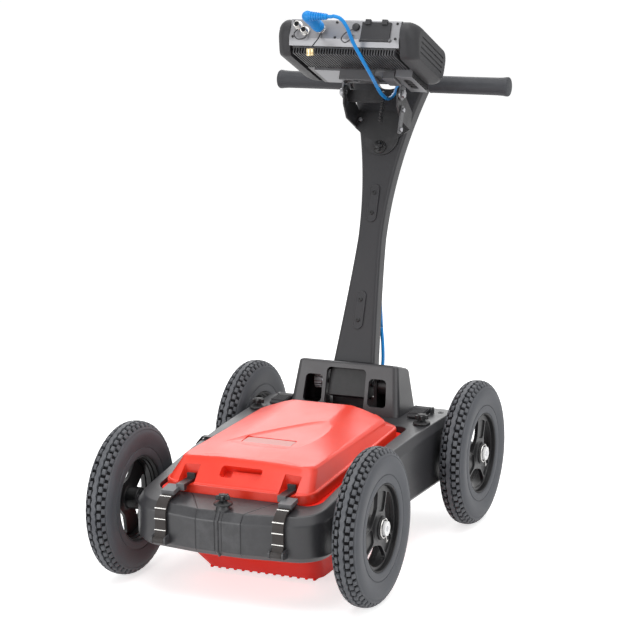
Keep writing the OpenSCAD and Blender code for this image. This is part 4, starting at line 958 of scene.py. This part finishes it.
def frameLoop(inset, drop=None, level=None):
    s = shell
    y0, y1 = s["front"] + s["sweep"] + s["frontRadius"], s["rear"] - s["rearRadius"]
    plan = planLoop(sideHalf(y0) - inset, sideHalf(y1) - inset, s["front"] + inset, s["rear"] - inset,
                    s["frontRadius"] - inset, s["rearRadius"] - inset, s["noseHalf"], s["sweep"])
    return [(x, y, frameTop(y) - drop if level is None else level) for x, y in plan]


def openLoop(grow, drop=None, below=None):
    s = shell
    half, radius = s["openHalf"] + grow, s["openRadius"] + grow
    plan = planLoop(half, half, s["openFront"] - grow, s["openRear"] + grow, radius, radius, s["noseHalf"], 0)
    return [(x, y, frameTop(y) - drop if below is None else rimHeight(y) - s["flange"] - below)
            for x, y in plan]


def frontFace(x):
    # the front face is swept back outside its middle panel
    s = shell
    end = sideHalf(s["front"] + s["sweep"] + s["frontRadius"]) - s["frontRadius"]
    return s["front"] + s["sweep"] * min(1, max(0, (abs(x) - s["noseHalf"]) / (end - s["noseHalf"])))


def overNose(x, top, foot):
    # from points on top, over the bevel, down the front face and under it
    front, bevel = shell["front"], shell["bevel"]
    return [*[(at, y, frameTop(y)) for at, y in top], (x, front, frameTop(front) - bevel - 3),
            (x, front, shell["low"] + bevel + 1), (x, *foot)]


def creaseLine(side):
    s = shell
    top = [(side * x, y) for x, y in s["crease"]]
    return overNose(side * s["noseHalf"], top, (s["front"] + s["bevel"], s["low"] - 2))


def noseRib(x, radius):
    front, bevel = shell["front"], shell["bevel"]
    top = [(x * 0.6, front + shell["ribTop"]), (x, front + bevel)]
    return wire(overNose(x, top, (front + bevel * 0.8, shell["low"] + 1.5)), radius)


def lugOutline(hold, x):
    if hold is latch:
        return filletCorners(latch["lug"], [0, 0, 5, 5])
    y, z, face = strap["pinY"] - 6, strap["pinZ"], frontFace(x) + 3
    return filletCorners([(y, z - 7), (face, z - 9), (face, z + 11), (y, z + 7)], [5, 0, 0, 5])


def frameFittings():
    s, high = shell, wheelSetup["z"]
    added = []
    for side, end in corners.values():
        x, y = side * sideHalf(end * s["axleY"]), end * s["axleY"]
        added.append(rod((x - side * s["bossIn"], y, high), (x + side * s["bossHeight"], y, high),
                         s["bossRadius"], 64, 1.2))
    added.append(turned(lathe(s["knobSeat"], 48), shift(0, s["knobY"], 0)))
    for side in hands.values():
        for edge in (-1, 1):
            for hold in (strap, latch):
                x = side * hold["x"] + edge * (hold["half"] + s["lugGap"] + s["lug"] / 2)
                added.append(onSide(lugOutline(hold, x), x - s["lug"] / 2, x + s["lug"] / 2))
        for hold in (strap, latch):
            x, y, z = side * hold["x"], hold["pinY"], hold["pinZ"]
            reach = hold["half"] + s["lugGap"] + s["lug"] + s["pinOut"]
            added.append(rod((x - reach, y, z), (x + reach, y, z), hold["pinR"], 24, hold["pinR"] / 5))
    return added


def makeFrame():
    s = shell
    b, w = s["bevel"], s["wall"]
    obj = loft([
        frameLoop(b + 1, level=s["low"]), frameLoop(0, level=s["low"] + b + 1), frameLoop(0, b + 3),
        frameLoop(b, 0), openLoop(0, 0), openLoop(0, below=0), openLoop(-s["ledge"], below=0),
        openLoop(-s["ledge"], below=w), openLoop(w, below=w), openLoop(w, w), frameLoop(b + w, w),
        frameLoop(w, b + w + 3), frameLoop(w, level=s["low"] + b + w), frameLoop(b + w + 1, level=s["low"])],
        ring=True)
    roundEdges(obj, s["edge"], 3, 24)
    added = frameFittings()
    cutters = [wire(creaseLine(side), s["groove"], 8) for side in hands.values()]
    cutters += [noseRib(x, s["ribGrooveR"]) for x in s["ribGrooves"]]
    ties = [(side * s["tieX"], s["tieY"]) for side in hands.values()]
    low, high = (s["deckH"] + level for level in s["tieHole"])
    cutters += [rod((*tie, low), (*tie, high), s["tieR"]) for tie in ties]
    carve(obj, *cutters)
    added.append(noseRib(s["ribX"], s["ribR"]))
    added += [turned(lathe(s["tieBush"], 32, closed=True), shift(*tie, s["deckH"])) for tie in ties]
    finishPiece("frameShell", [obj, *added], cart, "chassis", "frame_plastic", "chassis_frame", angle=30)


# Sensor housing: a lid with a raised crown, a grip slot and two strap notches, over a skid pan
housing = {
    "half": 165, "front": -350, "rear": 125, "radius": 34, "bow": 2, "slope": 44, "draft": 16, "rise": 60,
    "crown": 28, "crownReach": 85, "backStep": 28, "edge": 1.2, "cutEdge": 0.8,
    "band": [(1.5, 0), (0, 1.5), (0, 18.6), (0.5, 20.4), (1.7, 21.6), (3.2, 22), (5.4, 22.4), (6.6, 24.4)],
    "top": [(149.6, -1.5, -1, 27, 9), (147.4, 1.5, 1, 26, 3.4), (143, 6, 5, 23, 0.4), (137, 12, 9, 20, 0),
            (109, 17, 12, 19, 0), (85, 21, 15, 18.5, 0), (65, 23, 17, 18, 0), (57, 24, 18, 18, 0),
            (45, 34, 28, 14, 0)],
    "notchX": 111, "notchHalf": 18, "notchY": (-370, -314), "notchZ": (221, 281),
    "slot": (45, 13.5, 7), "slotZ": (-21, 32), "slotPlace": (0, -324.6, 248.4), "slotTilt": 42.3,
    "pad": (33, 9.5, 3), "padZ": (-24, -13), "padPlace": (9, -0.5, 0),
    "badge": (56, 18, 4), "badgeZ": (-1.9, 10), "badgeX": -4, "badgeY": (-200, -164),
    "plate": (54.2, 16.2, 3), "plateZ": (-2.3, -0.7), "plateEdge": 0.4,
    "dishDeep": 2.6, "dishOver": 12,
    "dishEdge": [(0.05, 1), (0.4, 1), (0.74, 1), (0.82, 0.86), (0.9, 0.5), (0.98, 0.1), (1.05, -0.3)],
    "dish": [(-98, -212), (-66, -168), (-18, -106), (34, -48), (66, -32), (84, -62), (88, -120), (80, -180),
             (62, -216), (0, -228)],
}


def lidTop(x, y):
    h = housing
    start = h["front"] + h["slope"]
    base = rimHeight(start) + h["rise"] + shell["rimRise"] * 0.25 * (y - start)
    share = min(1, max(0, (h["half"] - h["draft"] - abs(x)) / h["crownReach"]))
    share = share * share * (3 - 2 * share) * 0.55 + share * 0.45
    return base + h["crown"] * share * (0.2 + 0.8 * (y - start) / (h["rear"] - start))


def bandLoop(inset, rise):
    h = housing
    half, radius = h["half"] - inset, h["radius"] - inset
    plan = planLoop(half, half, h["front"] - h["bow"] + inset, h["rear"] - inset, radius, radius,
                    shell["noseHalf"], h["bow"], 8, 12)
    return [(x, y, rimHeight(y) + rise) for x, y in plan]


def topLoop(half, front, back, radius, drop):
    h = housing
    plan = planLoop(half, half, h["front"] - h["bow"] + h["slope"] + front, h["rear"] - h["backStep"] - back,
                    radius, radius, min(shell["noseHalf"], half - radius - 1), h["bow"], 8, 12)
    return [(x, y, lidTop(x, y) - drop) for x, y in plan]


def lidDish():
    # a shallow hollow with a soft edge that follows the lid's top
    h = housing
    line = smoothPath([(x, y, 0) for x, y in [*h["dish"], h["dish"][0]]], 6)[:-1]
    heart = sum(line, Vector()) / len(line)
    loops = []
    for share, sunk in h["dishEdge"]:
        spread = [heart + (p - heart) * share for p in line]
        loops.append([(p.x, p.y, lidTop(p.x, p.y) - sunk * h["dishDeep"]) for p in spread])
    return loft([*loops, [(x, y, z + h["dishOver"]) for x, y, z in loops[-1]]])


def makeLid():
    h = housing
    obj = loft([*[bandLoop(*row) for row in h["band"]], *[topLoop(*row) for row in h["top"]]])
    roundEdges(obj, h["edge"], 2, 28)
    notches = [box(side * h["notchX"] - h["notchHalf"], side * h["notchX"] + h["notchHalf"],
                   *h["notchY"], *h["notchZ"], 2.5, 3) for side in hands.values()]
    grip = prism(roundedLoop(*h["slot"]), *h["slotZ"])
    carve(grip, turned(prism(roundedLoop(*h["pad"]), *h["padZ"]), shift(*h["padPlace"])))
    turned(grip, shift(*h["slotPlace"]) @ spin(h["slotTilt"], "X"))
    y0, y1 = h["badgeY"]
    pitch = math.atan2(lidTop(0, y1) - lidTop(0, y0), y1 - y0)
    middle = (y0 + y1) / 2
    place = shift(h["badgeX"], middle, lidTop(0, middle) - h["dishDeep"]) @ Matrix.Rotation(pitch, 4, "X")
    badge = turned(prism(roundedLoop(*h["badge"]), *h["badgeZ"]), place)
    carve(obj, lidDish(), *notches, grip, badge)
    painted(roundEdges(obj, h["cutEdge"], 2, 50), finishes["housing_red"])
    plate = turned(prism(roundedLoop(*h["plate"]), *h["plateZ"]), place)
    painted(roundEdges(plate, h["plateEdge"], 2, 50), extras["badgePlate"])
    finishPiece("housingLid", [obj, plate], cart, "chassis", "housing_red", "antenna_lid", angle=32)


pan = {
    "body": [(52, 120, 12), (49, 116, 13.4), (39, 88, 42), (30.5, 53.5, 73.5), (25, 25, 105)],
    "flange": [(25, -6), (3, -6), (3, -1), (4, 0)],
    "runners": 14, "runnerHalf": 3, "runnerReach": 116, "runnerY": (-233, 86), "runnerZ": (8.5, 14),
    "edge": 1.4,
}


def panLoop(inset, front, level=None, rise=0):
    s = shell
    y0, y1 = s["openFront"] + front, s["openRear"] - inset
    plan = roundedLoop(s["openHalf"] - inset, (y1 - y0) / 2, s["openRadius"], 10)
    plan = [(x, y + (y0 + y1) / 2) for x, y in plan]
    return [(x, y, rimHeight(y) + rise if level is None else level) for x, y in plan]


def makePan():
    p = pan
    pieces = [loft([*[panLoop(*row) for row in p["body"]],
                    *[panLoop(inset, inset, rise=rise) for inset, rise in p["flange"]]])]
    for i in range(p["runners"]):
        x = p["runnerReach"] * (2 * i / (p["runners"] - 1) - 1)
        pieces.append(box(x - p["runnerHalf"], x + p["runnerHalf"], *p["runnerY"], *p["runnerZ"],
                          p["edge"], 2))
    # the pan gets the lighter red copy, painted light against the frame's shade
    for piece in pieces:
        painted(piece, extras["panRedPaintedLight"])
    finishPiece("skidPan", pieces, cart, "chassis", "housing_red", "antenna_pan", angle=34)


makeFrame()
makeLid()
makePan()
print("frame and housing made")


# Star knobs on domed collars
knob = {
    "collar": [(0, 0), (18.2, 0), (19, 0.8), (19, 2.6), (17.8, 4.2), (11, 6.4), (7.4, 8.6), (6.6, 12),
               (0, 12)],
    "dome": [(0, 17.6), (8.6, 17.6), (8.4, 20.2), (6.8, 21.1), (4, 21.8), (0, 22)],
    "lobes": 5, "radius": 11.6, "wave": 3.4, "starZ": (10.5, 19.6), "steps": 60, "edge": 1.7,
    "tiltPlace": (0, -25, 531), "tiltScale": 0.8,
}
knobPlaces = {"front_knob": (0, -406, 206.4), "rear_knob_left": (-195, 170, 246.4),
              "rear_knob_right": (195, 170, 246.4)}


def makeKnob(node, place):
    k = knob
    star = []
    for i in range(k["steps"]):
        turn = 2 * math.pi * i / k["steps"]
        star.append(polar(k["radius"] + k["wave"] * math.cos(k["lobes"] * turn), turn))
    collar = lathe(k["collar"], 48)
    head = roundEdges(prism(star, *k["starZ"]), k["edge"], 3, 60)
    pieces = [collar, head, lathe(k["dome"], 32)]
    finishPiece(camel(node), pieces, place, node, "black_plastic", node)


def makeKnobs():
    for node, spot in knobPlaces.items():
        makeKnob(node, cart @ shift(*spot))
    tilt = mastFrame @ shift(*knob["tiltPlace"]) @ faceOut
    makeKnob("tilt_knob", tilt @ Matrix.Scale(knob["tiltScale"], 4))


# Cowl round the foot of the mast
cowl = {
    "deck": 246, "front": 193, "rear": 304, "half": 130.5, "topHalf": 118.5, "high": 110, "lean": 29,
    "fall": 0.3, "wall": 5, "way": 55, "mastWay": (-30, 220, 10, 220), "cutY": (183, 246), "cutRadius": 9,
    "recess": [(-47, 254), (47, 254), (47, 342), (-47, 342)],
    "window": [(55, 264), (99.5, 264), (95.5, 324), (55, 324)],
    "rearY": (258, 309), "rearZ": (245, 466), "sillHalf": 54, "sillY": (262, 267), "sillZ": (245, 270),
    "edge": 1.3,
}


def cowlRing(half, y0, y1, radius, level=None, drop=0):
    c = cowl
    plan = [(x, y + (y0 + y1) / 2) for x, y in roundedLoop(half, (y1 - y0) / 2, radius, 8)]
    top = c["deck"] + c["high"]
    return [(x, y, top - c["fall"] * (y - c["front"] - c["lean"]) - drop if level is None else level)
            for x, y in plan]


def cowlLoops(g):
    c = cowl
    f, r, top = c["front"] + g, c["rear"] - g, c["topHalf"] - g
    return [cowlRing(c["half"] - g, f, r, 14, c["deck"] - (1 if g else 0)),
            cowlRing(top, f + 27, r - 4, 12, drop=7 + g),
            cowlRing(top - 1.6, f + 28.6, r - 5.2, 11.4, drop=3 + g),
            cowlRing(top - 6, f + 33, r - 9, 9, drop=g)]


def makeCowl():
    c = cowl
    obj = loft(cowlLoops(0))
    way = turned(box(-c["way"], c["way"], *c["mastWay"], 4, 3), cart.inverted() @ mastFrame)
    rear = box(-c["way"], c["way"], *c["rearY"], *c["rearZ"])
    outlines = [c["recess"], *[[(side * x, z) for x, z in c["window"]] for side in hands.values()]]
    cuts = [onFront(outline, *c["cutY"], c["cutRadius"]) for outline in outlines]
    carve(obj, loft(cowlLoops(c["wall"])), way, rear, *cuts)
    roundEdges(obj, c["edge"], 2, 35)
    sill = box(-c["sillHalf"], c["sillHalf"], *c["sillY"], *c["sillZ"], 1.5, 2)
    finishPiece("cowl", [obj, sill], cart, "chassis", "frame_plastic", "cowl", angle=34)


# Solids at the fold hinge and on the frame that only need their edges rounded
hingeRows = {
    "hinge_brackets": ("chassis", "bracket_steel", 1.2), "hinge_pin": ("chassis", "steel", 0.8),
    "fold_knob": ("fold_knob", "aluminium", 0.7, 2, 30), "mast_foot": ("mast", "black_plastic", 1.5, 3),
    "beam_clips": ("chassis", "black_plastic", 0.6), "cable_gland": ("chassis", "black_plastic", 1.0),
}


# Mast: a flared blade with two oblong covers and grips
blade = {
    "foot": 44, "footHalf": 49, "waist": 328.8, "waistHalf": 28.5, "headHalf": 92, "bar": 685, "top": 709,
    "radius": 9, "notch": 46, "notchZ": 711, "notchTop": 729, "past": 10, "steps": 60, "edge": 2.2,
    "covers": [161, 404], "cover": (12, 43, 11.9), "coverDish": (9.6, 40.6, 9.5), "screwStep": 23,
    "screw": [(0, 0), (4.5, 0), (4.5, 1.6), (3.6, 2.5), (2.4, 2.7), (2.2, 1.4), (0, 1.4)], "gripStart": 93,
    "grip": [(0, 0), (18, 0), (20, 1.6), (19.5, 8), (19.6, 93), (19.8, 160), (20.4, 171), (21.5, 179),
             (21.5, 183), (20, 185.2), (18, 186), (0, 186)],
}


def bladeHalf(t):
    b = blade
    if t < b["waist"]:
        share = ((b["waist"] - t) / (b["waist"] - b["foot"])) ** 1.25
        return b["waistHalf"] + (b["footHalf"] - b["waistHalf"]) * share
    share = (min(t, b["bar"]) - b["waist"]) / (b["bar"] - b["waist"])
    return b["waistHalf"] + (b["headHalf"] - b["waistHalf"]) * share ** 2


def oblong(shape, t, y0, y1):
    return onFront([(x, z + t) for x, z in roundedLoop(*shape, 10)], y0, y1)


def makeMast():
    b, half = blade, mastSetup["thick"] / 2
    loops = []
    for i in range(b["steps"] + 1):
        t = b["foot"] + (b["top"] - b["foot"]) * i / b["steps"]
        loops.append([(x, y, t) for x, y in roundedLoop(bladeHalf(t), half, b["radius"])])
    obj = loft(loops)
    level, past = b["notchZ"], half + b["past"]
    carve(obj, rod((0, -past, level), (0, past, level), b["notch"], 96),
          box(-b["notch"], b["notch"], -past, past, level, b["notchTop"]))
    roundEdges(obj, b["edge"], 3, 40)
    finishPiece("mastBlade", [obj], mastFrame, "mast", "mast_plastic", "mast_blade", angle=34)
    covers, screws = [], []
    for t in b["covers"]:
        plate = oblong(b["cover"], t, -half - 3, -half + 1)
        dish = oblong(b["coverDish"], t, -half - 5, -half - 2.2)
        covers.append(roundEdges(carve(plate, dish), 0.7, 2, 40))
        for side in (-1, 1):
            place = shift(0, -half - 2.6, t + side * b["screwStep"]) @ faceOut
            screws.append(turned(lathe(b["screw"], 24), place))
    finishPiece("mastCovers", covers, mastFrame, "mast", "mast_plastic", "mast_covers")
    finishPiece("mastScrews", screws, mastFrame, "mast", "black_plastic", "mast_screws")
    grips = [turned(lathe(b["grip"], 56), shift(side * b["gripStart"], 0, b["bar"]) @ spin(90 * side, "Y"))
             for side in hands.values()]
    finishPiece("handleGrips", grips, mastFrame, "mast", "grip_rubber", "handle_grips", weighted=False)


makeKnobs()
makeStraps()
makeLatches()
makeCowl()
softenAll(hingeRows)
makeMast()
print("mast, cowl, straps and knobs made")


# Controller: a black case with fins below, a silver socket panel and soft end bumpers
control = {
    "half": 127, "middle": (107, -38), "out": 163, "face": -3,
    "bumperLine": [(10, 3), (-6, -12), (-6, -34), (14, -70), (22, -78), (198, -78), (218, -60), (218, -14),
                   (204, 3)],
    "bumperCuts": [14, 9, 10, 9, 9, 15, 15, 13, 13],
    "bumperSteps": [(0, 1), (13, 1), (17, 0.99), (22, 0.963), (27, 0.92), (30.6, 0.88), (33.4, 0.83),
                    (35.2, 0.785), (36, 0.74)],
    "grooves": [-22, -33, -44, -55], "grooveDeep": 2.4, "grooveY": (38, 176), "grooveHalf": 1.8,
}


def makeBumpers():
    c = control
    line = filletCorners(c["bumperLine"], c["bumperCuts"], 4)
    middleY, middleZ = c["middle"]
    pieces = []
    for side in hands.values():
        loops = [[(side * (c["half"] + x), middleY + (y - middleY) * share, middleZ + (z - middleZ) * share)
                  for y, z in line] for x, share in c["bumperSteps"]]
        obj = loft(loops)
        edges = sorted((side * (c["out"] - c["grooveDeep"]), side * (c["out"] + 6)))
        carve(obj, *[box(*edges, *c["grooveY"], z - c["grooveHalf"], z + c["grooveHalf"], 1.2, 2)
                     for z in c["grooves"]])
        pieces.append(roundEdges(obj, 0.7, 2, 45))
    finishPiece("controlBumpers", pieces, controlFrame, "controller", "soft_rubber", "bumpers", angle=32)


# Sockets, their caps on tethers, and panel screws
sockets = {
    "shells": [(-108, -18), (-90, -30), (-54, -24)], "cap": (26, -18),
    "shell": [(0, 4), (5.4, 4), (5.6, 14.4), (6.6, 15), (7.5, 14.2), (7.5, 12.6), (6.8, 12), (6.8, 11),
              (7.5, 10.4), (7.5, 9), (6.8, 8.4), (6.8, 7.4), (7.5, 6.8), (7.5, 4.4), (9.4, 4), (10, 3.2),
              (10, 0), (0, 0)],
    "core": [(0, 7), (5.3, 7), (5.3, 3), (0, 3)],
    "capShape": [(0, 7), (5, 6.8), (7.4, 5.6), (8.4, 3.6), (8.6, 0), (0, 0)],
    "tether": [(-54, -5, -34.5), (-54, -14, -50), (-54, -44, -82)], "tetherR": 1.3,
    "loops": [[(-108, -8, -27), (-112, -13, -40), (-100, -16, -52), (-86, -13, -48), (-84, -8, -38)],
              [(20, -7, -24), (8, -13, -34), (0, -14, -48), (10, -13, -56), (20, -9, -46), (22, -6, -36)]],
    "dustCap": [(0, 0), (7.4, 0), (9, 1.4), (9, 5), (8.2, 5.6), (8.2, 6.6), (9, 7.2), (9, 13.4), (8, 15.4),
                (0, 15.4)], "dustCapDown": -15,
    "screws": [(-119, -8), (-119, -42), (-20, -8), (-20, -42), (119, -8), (119, -42)],
    "screw": [(0, 1.1), (1.3, 1.1), (1.4, 1.9), (2.4, 1.7), (2.9, 1), (2.9, 0), (0, 0)],
}


def makeSockets():
    q = sockets

    def onPanel(profile, spot, steps, slot):
        place = shift(spot[0], control["face"], spot[1]) @ faceOut
        return painted(turned(lathe(q[profile], steps), place), finishes[slot])

    pieces = []
    for spot in q["shells"]:
        pieces += [onPanel("shell", spot, 40, "nickel"), onPanel("core", spot, 24, "black_plastic")]
    pieces.append(onPanel("capShape", q["cap"], 40, "soft_rubber"))
    for line in [q["tether"], *q["loops"]]:
        pieces.append(painted(wire(smoothPath(line, 6), q["tetherR"]), finishes["soft_rubber"]))
    hang = shift(*q["tether"][-1]) @ (spin(controlSetup["slope"], "X") @ shift(0, 0, q["dustCapDown"]))
    pieces.append(painted(turned(lathe(q["dustCap"], 36), hang), extras["brass"]))
    pieces += [onPanel("screw", spot, 20, "black_plastic") for spot in q["screws"]]
    finishPiece("sockets", pieces, controlFrame, "controller", "nickel", "connectors", angle=34)


# Trim of the cradle under the case: a turned down lip, a channel and plates over the battery
trim = {
    "lip": (-45, 38, 105.7, 109.1, -100, -76, 1.2, 3), "channel": (58, 85, 101.7, 152, -97, -80, 2, 3),
    "channelWay": (62, 81, 97.7, 160, -94, -100, 1, 2), "front": (88, 127, 101.1, 102.5, -92, -62, 0.5, 2),
    "under": (88, 127, 101.1, 204, -92.2, -90.4, 0.6, 2), "slot": (9, 32, 8.9), "slotPlace": (108, 150),
    "slotZ": (-96, -86),
}


def makeCradleTrim():
    made = {name: box(*trim[name]) for name in ("lip", "channel", "channelWay", "front", "under")}
    x0, y0 = trim["slotPlace"]
    slot = prism([(x + x0, y + y0) for x, y in roundedLoop(*trim["slot"])], *trim["slotZ"])
    carve(made["channel"], made.pop("channelWay"))
    carve(made["under"], slot)
    for name, piece in made.items():
        painted(piece, extras["darkGrey"] if name in ("lip", "channel") else finishes["aluminium"])
    finishPiece("cradleTrim", list(made.values()), controlFrame, "controller", "aluminium")


# Trim of the yoke on the mast head: a toothed strip on its crossbar, a link plate beside it and bolts
yoke = {
    "stripX": (18, 23), "stripBack": [(-83, 573), (-83, 643)], "teeth": 11, "toothStart": 643, "toothRun": 70,
    "tooth": [(-94, 0), (-97, -2.4), (-94, -4.8)],
    "linkX": (66.2, 69.4), "link": [(-97, 547), (-78, 551), (-78, 613), (-97, 613)], "linkFillet": 7,
    "bolts": [((68.9, -87.5, 603), (73.4, -87.5, 603), 5.4), ((68.9, -87.5, 559), (73.4, -87.5, 559), 5.4),
              ((-54, -24.5, 592), (-54, -28.6, 592), 5), ((54, -24.5, 592), (54, -28.6, 592), 5)],
}


def makeYokeTrim():
    y = yoke
    line = list(y["stripBack"])
    for i in range(y["teeth"]):
        high = y["toothStart"] - i * y["toothRun"] / y["teeth"]
        line += [(n, high + t) for n, t in y["tooth"]]
    strip = painted(onSide(line, *y["stripX"], 0.5, 2), finishes["bracket_steel"])
    link = onSide(filletCorners(y["link"], y["linkFillet"]), *y["linkX"], 0.8, 2)
    painted(link, extras["darkGrey"])
    bolts = [painted(rod(*bolt, 6, 0.7), finishes["steel"]) for bolt in y["bolts"]]
    finishPiece("yokeTrim", [strip, link, *bolts], mastFrame, "mast", "bracket_steel")


caseRows = {
    "controller_case": ("controller", "case_metal", 1.8, 2, 40, "controlCase"),
    "heat_sink": ("controller", "case_metal", 0.5), "connector_panel": ("controller", "aluminium", 0.8),
    "battery_pack": ("controller", "black_plastic", 0.9), "screen_glass": ("controller", "screen", 0.7),
    "keypad": ("controller", "soft_rubber", 0.8), "port_door": ("port_door", "soft_rubber", 1.1, 3),
    "jog_dial": ("jog_dial", "soft_rubber", 0.6, 2, 25),
}
makeBumpers()
makeSockets()
softenAll({"cradle": ("controller", "aluminium", 1.0)})
makeCradleTrim()
softenAll({"yoke": ("mast", "bracket_steel", 1.2), "yoke_bolts": ("mast", "steel", 0.9)})
makeYokeTrim()
softenAll(caseRows)
print("controller and yoke made")


# Solids that stay as they are get their finish
for subpart in frame["record"]["subparts"]:
    painted(nodes[subpart["node"]], finishes[subpart["material_slot"]])
